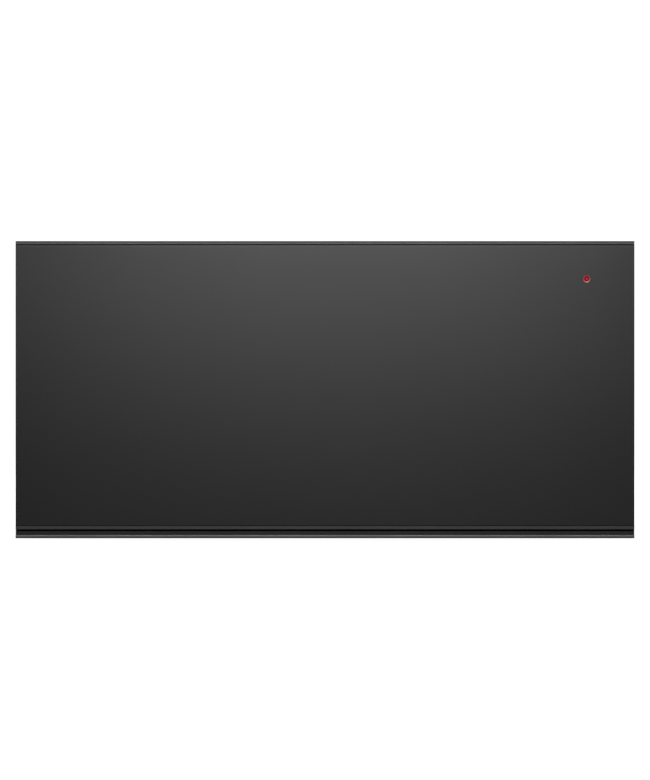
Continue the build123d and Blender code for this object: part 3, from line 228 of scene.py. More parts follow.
def fill(bm: BMesh, edges: Iterable[Edge], normal: Vector) -> list[Face]:
    """Fill a flat outline with its holes left open.

    Args:
        bm: Mesh that holds the edges.
        edges: Outline and rims of the holes.
        normal: Direction that the surface looks in.

    Returns:
        The new faces.
    """
    made = bmesh.ops.triangle_fill(bm, use_beauty=True, use_dissolve=False, edges=list(edges), normal=normal)
    return only(Face, made["geom"])


def push(bm: BMesh, faces: Iterable[Face], by: Vector) -> list[Face]:
    """Extrude faces and move what they made.

    Args:
        bm: Mesh that holds the faces.
        faces: Faces to extrude as one region.
        by: How far the new faces move.

    Returns:
        The moved faces.
    """
    made = bmesh.ops.extrude_face_region(bm, geom=list(faces))["geom"]
    bmesh.ops.translate(bm, vec=by, verts=only(Vert, made))
    return only(Face, made)


def add_prism(bm: BMesh, axis: Axis, section: Sequence[Point], span: Span,
              holes: Sequence[tuple[Point, float]] = (), steps: int = 24) -> None:
    """Add a bar of constant section along an axis.

    Args:
        bm: Mesh that gets the bar.
        axis: Direction of the bar.
        section: Corners of the section, as places on the two other axes.
        span: Where the bar starts and ends along the axis.
        holes: Centre and radius of each round hole along the bar.
        steps: How many edges each hole has.
    """
    edges = add_loop(bm, [axis.place(point, span[0]) for point in section])
    for centre, radius in holes:
        edges += add_ring(bm, axis, axis.place(centre, span[0]), radius, steps)
    push(bm, fill(bm, edges, axis.unit), axis.unit * (span[1] - span[0]))


def add_turned(bm: BMesh, axis: Axis, centre: Vector, profile: Sequence[Point], steps: int) -> None:
    """Add a turned shape, spun once round an axis.

    Args:
        bm: Mesh that gets the shape.
        axis: Axis of the lathe.
        centre: Point on the axis where the profile's second coordinate is zero.
        profile: Points as (radius, place along the axis). A radius of zero closes the shape.
        steps: How many faces go round.
    """
    spots = []
    for radius, place in profile:
        spot = Vector(centre)
        spot[axis.others[0]] += radius
        spot[axis.value] += place
        spots.append(spot)
    edges = add_loop(bm, spots, closed=False)
    geom = edges + list({vert for edge in edges for vert in edge.verts})
    bmesh.ops.spin(bm, geom=geom, cent=centre, axis=axis.unit, dvec=(0.0, 0.0, 0.0), angle=math.tau,
                   space=Matrix.Identity(4), steps=steps, use_merge=True, use_normal_flip=False,
                   use_duplicate=False)
    bmesh.ops.remove_doubles(bm, verts=list(bm.verts), dist=MERGE)


def cut(bm: BMesh, axis: Axis, place: float) -> None:
    """Cut a mesh by a plane square to an axis, and keep both sides."""
    bmesh.ops.bisect_plane(bm, geom=[*bm.verts, *bm.edges, *bm.faces], dist=MERGE,
                           plane_co=axis.unit * place, plane_no=axis.unit)


def round_off(bm: BMesh, edges: Iterable[Edge], radius: float, steps: int = 3) -> None:
    """Round edges over.

    Args:
        bm: Mesh that holds the edges.
        edges: Edges to round.
        radius: How far the rounding reaches from each edge.
        steps: How many faces it has across.
    """
    bmesh.ops.bevel(bm, geom=list(edges), offset=radius, offset_type="OFFSET", affect="EDGES",
                    segments=steps, **BEVEL)


def join_flat(bm: BMesh) -> None:
    """Join the faces that lie in one plane."""
    bmesh.ops.dissolve_limit(bm, angle_limit=math.radians(0.5), use_dissolve_boundaries=False,
                             verts=list(bm.verts), edges=list(bm.edges), delimit={"NORMAL"})


def copy_node(node: str) -> BMesh:
    """Merged copy of a CAD node's mesh, with its flat faces joined.

    Args:
        node: Name of the node.

    Returns:
        The copy.
    """
    bm = bmesh.new()
    bm.from_mesh(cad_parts[node].data)
    bmesh.ops.remove_doubles(bm, verts=list(bm.verts), dist=NEAR)
    join_flat(bm)
    return bm


def soften(bm: BMesh, radius: float, steps: int = 2) -> None:
    """Break the long sharp edges of a merged copy.

    Args:
        bm: The copy.
        radius: How far each rounding reaches.
        steps: How many faces it has across.
    """
    seen = [edge for edge in bm.edges if len(edge.link_faces) == 2 and edge.calc_length() > LONG_EDGE
            and edge.calc_face_angle(0.0) > SHARP]
    round_off(bm, seen, radius, steps)


def flute(bm: BMesh, centre: Vector, count: int, depth: float, least: float, end: float = math.inf) -> None:
    """Press flutes into the outside of a shape that is turned round Y.

    Args:
        bm: Mesh of the shape.
        centre: Point on its axis.
        count: How many flutes go round.
        depth: Half a flute's depth, as a share of the radius.
        least: Radius from which the outside moves.
        end: Place along Y, from the centre, up to which the outside moves.
    """
    for vert in bm.verts:
        arm = vert.co - centre
        if math.hypot(arm.x, arm.z) > least and arm.y < end:
            scale = 1.0 - depth * (1.0 + math.cos(count * math.atan2(arm.z, arm.x)))
            vert.co = centre + Vector((arm.x * scale, arm.y, arm.z * scale))


def islands(bm: BMesh) -> list[tuple[Box, list[Vector]]]:
    """Part a mesh into its separate solids.

    Args:
        bm: The mesh, which is used up.

    Returns:
        Box and vertices of each solid, sorted by place.
    """
    left = set(bm.verts)
    solids = []
    while left:
        group, queue = set(), [left.pop()]
        while queue:
            vert = queue.pop()
            group.add(vert)
            linked = {edge.other_vert(vert) for edge in vert.link_edges} & left
            left -= linked
            queue.extend(linked)
        low = Vector([min(vert.co[i] for vert in group) for i in range(3)])
        high = Vector([max(vert.co[i] for vert in group) for i in range(3)])
        solids.append((Box(low, high), [vert.co.copy() for vert in group]))
    bm.free()
    return sorted(solids, key=lambda solid: tuple(round(value, 5) for value in solid[0].centre))


# ---------------------------------------------------------------- finishes
def tinted(colour: Colour, by: float) -> Colour:
    """A colour made lighter or darker by a factor."""
    return tuple(min(1.0, channel * by) for channel in colour)


class Tree:
    """Shader nodes of a material or a world while they are put together."""

    def __init__(self, tree: bpy.types.NodeTree) -> None:
        """Start from the nodes that are there."""
        self.tree = tree

    def feed(self, node: bpy.types.Node, **inputs: object) -> None:
        """Link a node's inputs to sockets, or set them to constants.

        Args:
            node: The node.
            inputs: Socket or constant for each input, named after it with _ for a space.
        """
        for name, value in inputs.items():
            target = node.inputs[name.replace("_", " ")]
            if isinstance(value, Socket):
                self.tree.links.new(value, target)
            else:
                target.default_value = value

    def node(self, kind: str, **inputs: object) -> bpy.types.Node:
        """Add a node.

        Args:
            kind: Type of the node, after its ShaderNode.
            inputs: Socket or constant for each input, named after it with _ for a space.

        Returns:
            The node.
        """
        node = self.tree.nodes.new("ShaderNode" + kind)
        self.feed(node, **inputs)
        return node

    def combined(self, first: Socket, second: Socket, operation: str = "ADD") -> Socket:
        """Two values joined by arithmetic.

        Args:
            first: First value.
            second: Second value.
            operation: What joins them.

        Returns:
            The result's socket.
        """
        node = self.node("Math")
        node.operation = operation
        for value, target in zip((first, second), node.inputs):
            self.tree.links.new(value, target)
        return node.outputs["Value"]

    def length(self, vector: Socket) -> Socket:
        """Length of a vector."""
        node = self.node("VectorMath", Vector=vector)
        node.operation = "LENGTH"
        return node.outputs["Value"]

    def ranged(self, source: Socket, low: float, high: float, start: float = 0.3, end: float = 0.7) -> Socket:
        """Map a factor onto a range.

        Args:
            source: Factor.
            low: Result at the start.
            high: Result at the end.
            start: Factor that gives low.
            end: Factor that gives high.

        Returns:
            The value socket.
        """
        node = self.node("MapRange", Value=source, From_Min=start, From_Max=end, To_Min=low, To_Max=high)
        return node.outputs["Result"]

    def spread(self, source: Socket, middle: float, by: float, start: float = 0.3,
               end: float = 0.7) -> Socket:
        """Map a factor onto a range that is even about its middle."""
        return self.ranged(source, middle - by, middle + by, start, end)

    def ramp(self, source: Socket, *stops: tuple[float, Colour]) -> Socket:
        """Colour ramp.

        Args:
            source: Factor.
            stops: Position and colour of each stop, two or more.

        Returns:
            The colour socket.
        """
        node = self.node("ValToRGB", Fac=source)
        points = node.color_ramp.elements
        while len(points) < len(stops):
            points.new(0.5)
        for point, (position, colour) in zip(points, stops):
            point.position = position
            point.color = (*colour, 1.0)
        return node.outputs["Color"]


class Recipe(Tree):
    """Nodes of one material, which end in its principled shader."""

    def __init__(self, name: str) -> None:
        """Start a material with a plain principled shader."""
        self.material = bpy.data.materials.new(name)
        self.material.use_nodes = True
        super().__init__(self.material.node_tree)
        self.shader = self.tree.nodes["Principled BSDF"]
        self.place = self.node("TexCoord")
        self.space = self.place.outputs["Object"]

    def set(self, **inputs: object) -> None:
        """Link or set the shader's inputs, each named after it with _ for a space."""
        self.feed(self.shader, **inputs)

    def noise(self, scale: float, detail: float = 3.0, stretch: Sequence[float] = (1.0, 1.0, 1.0),
              rough: float = 0.55) -> Socket:
        """Noise over object space.

        Args:
            scale: Spots per metre.
            detail: Octaves.
            stretch: Scale along X, Y and Z before the noise is read.
            rough: How strong the finer octaves are.

        Returns:
            The factor socket.
        """
        space = self.node("Mapping", Vector=self.space, Scale=stretch).outputs["Vector"]
        node = self.node("TexNoise", Vector=space, Scale=scale, Detail=detail, Roughness=rough)
        return node.outputs["Fac"]

    def cells(self, scale: float, feature: str = "F1", stretch: Sequence[float] = (1.0, 1.0, 1.0),
              output: str = "Distance") -> Socket:
        """Voronoi cells over object space.

        Args:
            scale: Cells per metre.
            feature: Kind of distance that is read.
            stretch: Scale along X, Y and Z before the cells are read.
            output: Which output is used.

        Returns:
            That output's socket.
        """
        space = self.node("Mapping", Vector=self.space, Scale=stretch).outputs["Vector"]
        node = self.node("TexVoronoi", Vector=space, Scale=scale)
        node.feature = feature
        return node.outputs[output]

    def bands(self, axis: Axis, scale: float, wobble: float) -> Socket:
        """Even bands square to an axis.

        Args:
            axis: Axis that the bands follow each other along.
            scale: Texture scale; about a third of it is the number of bands in a metre.
            wobble: How much the bands are distorted.

        Returns:
            The factor socket.
        """
        node = self.node("TexWave", Vector=self.space, Scale=scale, Distortion=wobble)
        node.wave_type = "BANDS"
        node.bands_direction = axis.name
        return node.outputs["Fac"]

    def by_side(self, front: Socket, side: Socket) -> Socket:
        """One value on surfaces that look along Y or Z and another on those that look along X.

        Args:
            front: Value on the surfaces that look along Y or Z.
            side: Value on those that look along X.

        Returns:
            The chosen value's socket.
        """
        across = self.node("SeparateXYZ", Vector=self.place.outputs["Normal"]).outputs["X"]
        squared = self.combined(across, across, "MULTIPLY")
        choice = self.node("Mix", Factor=self.ranged(squared, 0.0, 1.0, 0.4, 0.6), A=front, B=side)
        return choice.outputs["Result"]

    def tones(self, source: Socket, colour: Colour, *stops: Point) -> None:
        """Feed the base colour with lighter and darker tones of one colour.

        Args:
            source: Factor.
            colour: The colour.
            stops: Position and lightness of each stop.
        """
        self.set(Base_Color=self.ramp(source, *((place, tinted(colour, by)) for place, by in stops)))

    def bump(self, height: Socket, strength: float, depth: float) -> None:
        """Feed a height to the shader's normal.

        Args:
            height: Height factor.
            strength: How strongly it shows.
            depth: Height of a full step, in metres.
        """
        node = self.node("Bump", Height=height, Strength=strength, Distance=depth)
        self.set(Normal=node.outputs["Normal"])


made_materials: dict[str, bpy.types.Material] = {}


@dataclass(frozen=True)
class Finish:
    """What every finish has: a name, a colour and a roughness."""

    name: str
    colour: Colour
    roughness: float

    def material(self) -> bpy.types.Material:
        """Make the material on first use.

        Returns:
            The finish's material.
        """
        if self.name not in made_materials:
            recipe = Recipe(self.name)
            recipe.set(Roughness=self.roughness)
            self.dress(recipe)
            made_materials[self.name] = recipe.material
        return made_materials[self.name]

    def dress(self, recipe: Recipe) -> None:
        """Put the finish's nodes together."""
        raise NotImplementedError


@dataclass(frozen=True)
class BlackGlass(Finish):
    """Satin black glass: printed behind, etched in front."""

    specular: float = 0.5

    def dress(self, recipe: Recipe) -> None:
        """Faint clouding of colour and sheen, as a wiped pane has.

        Args:
            recipe: Recipe that gets the nodes.
        """
        cloud, etch = recipe.noise(9.0, detail=2.0), recipe.noise(2600.0, detail=2.0)
        sheen = recipe.combined(recipe.spread(cloud, 0.0, 0.004), recipe.spread(etch, self.roughness, 0.012))
        recipe.tones(cloud, self.colour, (0.3, 0.9), (0.7, 1.1))
        recipe.set(Roughness=sheen, Specular_IOR_Level=self.specular)
        recipe.bump(etch, 0.05, 0.02 * MM)


@dataclass(frozen=True)
class DrawnMetal(Finish):
    """Metal with a fine grain along one axis: brushed, drawn or anodised."""

    grain: Axis = Axis.X
    fineness: float = 2200.0
    contrast: float = 0.12
    depth: float = 0.006 * MM
    side_grain: Axis | None = None

    def streaks(self, recipe: Recipe, grain: Axis) -> Socket:
        """Noise drawn out along one axis."""
        stretch = [0.005 if axis is grain else 1.0 for axis in Axis]
        return recipe.noise(self.fineness, detail=3.0, stretch=stretch, rough=0.65)

    def dress(self, recipe: Recipe) -> None:
        """Long streaks of tone, sheen and relief along the grain.

        Args:
            recipe: Recipe that gets the nodes.
        """
        streaks = self.streaks(recipe, self.grain)
        if self.side_grain:
            streaks = recipe.by_side(streaks, self.streaks(recipe, self.side_grain))
        cloud = recipe.noise(14.0, detail=2.0)
        sheen = recipe.combined(recipe.spread(streaks, self.roughness, 0.05), recipe.spread(cloud, 0.0, 0.02))
        recipe.tones(streaks, self.colour, (0.25, 1.0 - self.contrast), (0.5, 1.0),
                     (0.75, 1.0 + self.contrast))
        recipe.set(Roughness=sheen, Metallic=1.0)
        recipe.bump(streaks, 0.35, self.depth)


@dataclass(frozen=True)
class SpangledZinc(Finish):
    """Hot-dip zinc on steel sheet, with its frosted crystals."""

    spangle: float = 210.0
    variety: float = 0.06

    def dress(self, recipe: Recipe) -> None:
        """Crystals that differ a little in tone and sheen, over fine grain and faint handling clouds.

        Args:
            recipe: Recipe that gets the nodes.
        """
        crystal = recipe.node("SeparateColor", Color=recipe.cells(self.spangle, output="Color"))
        cloud = recipe.spread(recipe.noise(5.0, detail=4.0), 0.0, 0.25)
        tone = recipe.combined(crystal.outputs["Red"], cloud)
        grain = recipe.noise(1400.0, detail=3.0)
        sheen = recipe.combined(recipe.spread(tone, self.roughness, 0.05, 0.0, 1.0),
                                recipe.spread(grain, 0.0, 0.03))
        recipe.tones(tone, self.colour, (0.0, 1.0 - self.variety), (0.5, 1.0), (1.0, 1.0 + self.variety))
        recipe.set(Roughness=sheen, Metallic=1.0)
        recipe.bump(grain, 0.25, 0.01 * MM)


@dataclass(frozen=True)
class GrainedPlastic(Finish):
    """Moulded plastic or rubber with a spark-eroded grain."""

    grain: float = 1500.0
    relief: float = 0.03 * MM
    sheen: float = 0.0

    def dress(self, recipe: Recipe) -> None:
        """Fine pebbled relief, with a cloudy tone that follows handling.

        Args:
            recipe: Recipe that gets the nodes.
        """
        pebble = recipe.cells(self.grain, feature="SMOOTH_F1")
        cloud = recipe.noise(30.0, detail=3.0)
        recipe.tones(cloud, self.colour, (0.3, 0.88), (0.7, 1.12))
        recipe.set(Roughness=recipe.spread(cloud, self.roughness, 0.04), Specular_IOR_Level=0.45,
                   Sheen_Weight=self.sheen)
        recipe.bump(pebble, 0.35, self.relief)


@dataclass(frozen=True)
class MineralWool(Finish):
    """Pressed wool slab: matted fibres in two tones."""

    def dress(self, recipe: Recipe) -> None:
        """Two crossing beds of stretched fibres and a soft mottling.

        Args:
            recipe: Recipe that gets the nodes.
        """
        first = recipe.noise(900.0, detail=4.0, stretch=(0.12, 1.0, 1.0), rough=0.7)
        second = recipe.noise(800.0, detail=4.0, stretch=(1.0, 0.6, 0.12), rough=0.7)
        mat = recipe.combined(first, second, "MAXIMUM")
        recipe.tones(mat, self.colour, (0.4, 0.55), (0.62, 1.0), (0.8, 1.3))
        recipe.set(Sheen_Weight=0.2, Specular_IOR_Level=0.2)
        recipe.bump(mat, 0.9, 0.5 * MM)


@dataclass(frozen=True)
class CircuitBoard(Finish):
    """Green solder mask over copper tracks."""

    def dress(self, recipe: Recipe) -> None:
        """Straight-edged track areas, slightly raised and lighter.

        Args:
            recipe: Recipe that gets the nodes.
        """
        tracks = recipe.cells(210.0, stretch=(1.0, 0.2, 1.0))
        recipe.tones(tracks, self.colour, (0.42, 1.7), (0.46, 1.0))
        recipe.set(Coat_Weight=0.4, Coat_Roughness=0.2)
        recipe.bump(recipe.ranged(tracks, 1.0, 0.0, 0.42, 0.46), 0.4, 0.05 * MM)


@dataclass(frozen=True)
class Layered(Finish):
    """Metal in fine layers along one axis: stacked iron sheets or wound wire."""

    stack: Axis = Axis.Y
    pitch: float = 700.0
    metallic: float = 0.9

    def dress(self, recipe: Recipe) -> None:
        """Bands of tone and relief, one for each sheet or turn.

        Args:
            recipe: Recipe that gets the nodes.
        """
        layers = recipe.bands(self.stack, self.pitch, wobble=0.3)
        recipe.tones(layers, self.colour, (0.1, 0.4), (0.5, 1.0))
        recipe.set(Roughness=recipe.ranged(layers, self.roughness + 0.15, self.roughness, 0.1, 0.6),
                   Metallic=self.metallic)
        recipe.bump(layers, 0.7, 0.15 * MM)


@dataclass(frozen=True)
class HeatedSteel(Finish):
    """Sheath of a heater, blued and browned by its own heat."""

    blue: Colour = (0.05, 0.045, 0.05)
    brown: Colour = (0.12, 0.08, 0.055)

    def dress(self, recipe: Recipe) -> None:
        """Patches of oxide in brown and blue-grey.

        Args:
            recipe: Recipe that gets the nodes.
        """
        patch = recipe.noise(60.0, detail=4.0)
        oxide = recipe.ramp(patch, (0.3, self.blue), (0.5, self.colour), (0.7, self.brown))
        recipe.set(Base_Color=oxide, Roughness=recipe.spread(patch, self.roughness, 0.1), Metallic=1.0)


@dataclass(frozen=True)
class LitLens(Finish):
    """Red lens with a light behind its middle, which fades out towards the rim."""

    centre: tuple[float, float, float] = (0.0, 0.0, 0.0)
    reach: float = 3.3 * MM
    core: Colour = (0.89, 0.03, 0.05)

    def dress(self, recipe: Recipe) -> None:
        """Round glow in object space, hot in the middle and deep red outside.

        Args:
            recipe: Recipe that gets the nodes.
        """
        centred = recipe.node("Mapping", Vector=recipe.space, Location=self.centre,
                              Scale=(self.reach, 1.0, self.reach))
        centred.vector_type = "TEXTURE"
        flat = recipe.node("VectorMath", Vector=centred.outputs["Vector"])
        flat.operation = "MULTIPLY"
        flat.inputs[1].default_value = (1.0, 0.0, 1.0)
        glow = recipe.ramp(recipe.length(flat.outputs["Vector"]), (0.0, self.core),
                           (0.26, tinted(self.core, 0.85)), (0.56, self.colour),
                           (1.0, tinted(self.colour, 0.5)))
        recipe.set(Emission_Color=glow, Emission_Strength=1.0, Base_Color=(0.02, 0.0, 0.0, 1.0),
                   Specular_IOR_Level=0.02)


@dataclass(frozen=True)
class Print(Finish):
    """Screen-printed ink, slightly uneven in cover."""

    def dress(self, recipe: Recipe) -> None:
        """Fine breaks in the ink's tone."""
        recipe.tones(recipe.noise(5000.0, detail=2.0), self.colour, (0.3, 0.8), (0.6, 1.0))


GLASS = BlackGlass("satin_black_glass", (0.006, 0.006, 0.0062), 0.317)
DARK_ALUMINIUM = DrawnMetal("anodised_black_aluminium", (0.08, 0.08, 0.081), 0.5, contrast=0.08)
GREY_ALUMINIUM = DrawnMetal("anodised_grey_aluminium", (0.16, 0.16, 0.162), 0.5, contrast=0.06)
STRIP_ALUMINIUM = DrawnMetal("anodised_strip_aluminium", (0.1, 0.1, 0.101), 0.5, contrast=0.06)
# Lighter copy of the anodised aluminium: painted highlight on the door's top bead and on the foot trim's lip.
HIGHLIGHT_ALUMINIUM = DrawnMetal("anodised_lip_aluminium", (0.19, 0.19, 0.192), 0.5, contrast=0.06)
# Darker copy of the same anodised aluminium: painted shade on the foot trim's face under the door.
SHADED_TRIM_ALUMINIUM = DrawnMetal("anodised_trim_black", (0.042, 0.042, 0.043), 0.5, contrast=0.08)
# Pink tint of the ring round the indicator: painted reflection of the lens's red light.
BEZEL_PAINTED_RED_REFLECTION = DrawnMetal("pink_lit_ring", (0.82, 0.4, 0.45), 0.42, contrast=0.05)
STAINLESS = DrawnMetal("brushed_stainless", (0.62, 0.61, 0.59), 0.34, contrast=0.06, side_grain=Axis.Y)
ZINC = SpangledZinc("spangled_zinc", (0.55, 0.56, 0.57), 0.46)
RAIL_STEEL = DrawnMetal("drawn_rail_steel", (0.52, 0.53, 0.55), 0.28, grain=Axis.Y, fineness=1800.0)
SCREW_STEEL = DrawnMetal("bright_screw_steel", (0.6, 0.6, 0.6), 0.25, contrast=0.05)
WOOL = MineralWool("mineral_wool", (0.5, 0.44, 0.33), 0.95)
SILICONE = GrainedPlastic("black_silicone", (0.018, 0.018, 0.019), 0.62, grain=900.0, sheen=0.1)
MAT_SILICONE = GrainedPlastic("mat_silicone", (0.045, 0.045, 0.048), 0.7, grain=1100.0, sheen=0.15)
BLACK_PLASTIC = GrainedPlastic("black_plastic", (0.022, 0.022, 0.023), 0.5)
LIGHT_PLASTIC = GrainedPlastic("light_plastic", (0.62, 0.6, 0.55), 0.45)
BOARD = CircuitBoard("circuit_board", (0.01, 0.07, 0.025), 0.4)
IRON = Layered("stacked_iron", (0.22, 0.22, 0.23), 0.4)
COPPER = Layered("wound_copper", (0.5, 0.2, 0.08), 0.35, pitch=900.0)
HEATER = HeatedSteel("heater_sheath", (0.09, 0.07, 0.06), 0.5)
INK = Print("white_ink", (0.72, 0.72, 0.7), 0.6)

FINISHED_NODES: dict[Finish, tuple[str, ...]] = {
    GLASS: ("front_glass",),
    GREY_ALUMINIUM: ("door_top_profile", "bottom_trim", "indicator_bezel"),
    DARK_ALUMINIUM: ("door_bottom_profile",),
    ZINC: ("door_liner", "carrier_brackets", "striker_blade", "base_pan", "left_side_panel",
           "right_side_panel", "top_panel", "rear_panel", "top_rail", "cavity_back", "left_outer_ball_cage",
           "right_outer_ball_cage", "left_inner_ball_cage", "right_inner_ball_cage", "fan_impeller",
           "motor_bridges"),
    STAINLESS: ("drawer_pan", "cavity_liner", "fan_cover", "temperature_sensor"),
    RAIL_STEEL: ("inner_rails", "left_outer_rail", "right_outer_rail", "left_middle_rail",
                 "right_middle_rail"),
    SCREW_STEEL: ("drawer_screws", "housing_screws", "fan_shaft", "latch_spring"),
    WOOL: ("door_insulation", "insulation_blanket", "back_insulation"),
    SILICONE: ("door_gasket", "stop_buffers"),
    MAT_SILICONE: ("nonslip_mat",),
    BLACK_PLASTIC: ("left_column_cover", "control_fascia", "rocker_housing", "cable_gland", "wiring_loom",
                    "temperature_knob", "power_rocker"),
    LIGHT_PLASTIC: ("selector_switch", "thermal_cutout", "terminal_block", "loom_clips", "latch_housing",
                    "latch_carriage", "indicator_lamp", "light_guide"),
    BOARD: ("control_board", "relay_board"),
    HEATER: ("ring_heater",),
    IRON: ("motor_core",),
    COPPER: ("motor_coil",),
}
NODE_FINISHES = {node: finish for finish, nodes in FINISHED_NODES.items() for node in nodes}
SLOTS = {ZINC: "zinc_steel", BLACK_PLASTIC: "black_plastic", LIGHT_PLASTIC: "light_plastic"}


def dress_nodes() -> None:
    """Give every CAD node its finish; those that a piece replaces stay hidden."""
    for node, finish in NODE_FINISHES.items():
        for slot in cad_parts[node].material_slots:
            slot.material = finish.material()
    log.info("dressed %d nodes", len(NODE_FINISHES))


# ---------------------------------------------------------------- pieces
@dataclass(frozen=True)
class Role:
    """How a piece belongs to the model: its body, its material slot and the nodes that it stands for."""

    body: str
    slot: str
    nodes: tuple[str, ...] = ()


def walled(mesh: bpy.types.Mesh, wall: float) -> bpy.types.Mesh:
    """Give a surface an even wall behind its faces.

    Args:
        mesh: The outer surface.
        wall: Thickness of the wall.

    Returns:
        Mesh of the closed wall.
    """
    holder = bpy.data.objects.new(mesh.name, mesh)
    bpy.context.scene.collection.objects.link(holder)
    solidify = holder.modifiers.new("wall", "SOLIDIFY")
    solidify.thickness = wall
    solidify.offset = -1.0
    solidify.use_even_offset = True
    solidify.use_quality_normals = True
    view = bpy.context.evaluated_depsgraph_get()
    closed = bpy.data.meshes.new_from_object(holder.evaluated_get(view))
    bpy.data.objects.remove(holder)
    bpy.data.meshes.remove(mesh)
    return closed


def settle(name: str, bm: BMesh, finish: Finish, role: Role, smooth: float = 32.0,
           wall: float = 0.0) -> bpy.types.Object:
    """Turn a mesh into a finished piece of the model.

    Args:
        name: Name of the piece.
        bm: Its mesh, which is used up.
        finish: Its finish.
        role: Its body, slot and nodes.
        smooth: Faces that meet at less than this many degrees are shaded as one surface.
        wall: Thickness that an open surface gets behind it; a closed shape has none.

    Returns:
        The piece's object.
    """
    bmesh.ops.remove_doubles(bm, verts=list(bm.verts), dist=MERGE)
    if not wall:
        bmesh.ops.recalc_face_normals(bm, faces=list(bm.faces))
    mesh = bpy.data.meshes.new(name)
    bm.to_mesh(mesh)
    bm.free()
    if wall:
        mesh = walled(mesh, wall)
        mesh.name = name
    mesh.polygons.foreach_set("use_smooth", [True] * len(mesh.polygons))
    mesh.set_sharp_from_angle(angle=math.radians(smooth))
    mesh.materials.append(finish.material())
    piece = bpy.data.objects.new(name, mesh)
    bpy.context.scene.collection.objects.link(piece)
    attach(piece, role.body)
    if role.nodes:
        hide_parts(*role.nodes)
    even = piece.modifiers.new("even_shading", "WEIGHTED_NORMAL")
    even.keep_sharp = True
    log.info("%s: %d faces on %s", name, len(mesh.polygons), role.body)
    return piece


@dataclass(frozen=True)
class Pressing:
    """Round-cornered place in a flat sheet: a hole, or a bead or louvre where it has a height."""

    centre: Point
    half: Point
    corner: float
    height: float = 0.0
    slope: float = 2.5 * MM
    open_below: bool = False
    steps: int = 4
    flank: tuple[Point, ...] = ((0.3, 0.12), (0.7, 0.88), (1.0, 1.0))
    least_corner: float = 0.3 * MM

    @classmethod
    def hole(cls, centre: Point, radius: float, steps: int) -> "Pressing":
        """Round hole."""
        return cls(centre, (radius, radius), radius, steps=steps)

    @classmethod
    def between(cls, first: Span, second: Span, corner: float, height: float = 0.0,
                slope: float = 2.5 * MM) -> "Pressing":
        """Pressing that fills a span on each of the two axes."""
        centre = (sum(first) / 2, sum(second) / 2)
        return cls(centre, ((first[1] - first[0]) / 2, (second[1] - second[0]) / 2), corner, height, slope)

    def ring(self, bm: BMesh, axis: Axis, level: float, inset: float = 0.0) -> list[Edge]:
        """Outline of the place.

        Args:
            bm: Mesh that gets the outline.
            axis: Axis that the sheet is square to.
            level: Where the outline lies along it.
            inset: How far inside the true outline it runs.

        Returns:
            The outline's edges.
        """
        count = 4 * self.steps
        radius = max(self.corner - inset, self.least_corner)
        centre = axis.place(self.centre, level)
        place = Matrix.Translation(centre) @ axis.stand @ Matrix.Rotation(math.pi / count, 4, "Z")
        made = bmesh.ops.create_circle(bm, cap_ends=False, segments=count, radius=radius, matrix=place)
        for vert in made["verts"]:
            for index, half in zip(axis.others, self.half):
                room = max(half - inset - radius, 0.0)
                vert.co[index] += math.copysign(room, vert.co[index] - centre[index])
        return edges_of(made["verts"])

    def press(self, bm: BMesh, axis: Axis, level: float, side: int, rim: list[Edge]) -> None:
        """Close the place with its raised or sunk bead.

        Args:
            bm: Mesh that gets the bead.
            axis: Axis that the sheet is square to.
            level: Where the sheet lies along it.
            side: Direction along the axis that counts as raised.
            rim: Edges of the opening in the sheet.
        """
        last, made = rim, []
        for across, up in self.flank:
            ring = self.ring(bm, axis, level + side * self.height * up, self.slope * across)
            made += bmesh.ops.bridge_loops(bm, edges=last + ring)["faces"]
            last = ring
        bmesh.ops.edgeloop_fill(bm, edges=last)
        if self.open_below:
            across, up = axis.others
            limit = self.centre[1] - self.half[1] + self.slope
            reach = self.half[0] - self.corner
            low = [face for face in made if face.calc_center_median()[up] < limit
                   and abs(face.calc_center_median()[across] - self.centre[0]) < reach]
            bmesh.ops.delete(bm, geom=low, context="FACES")


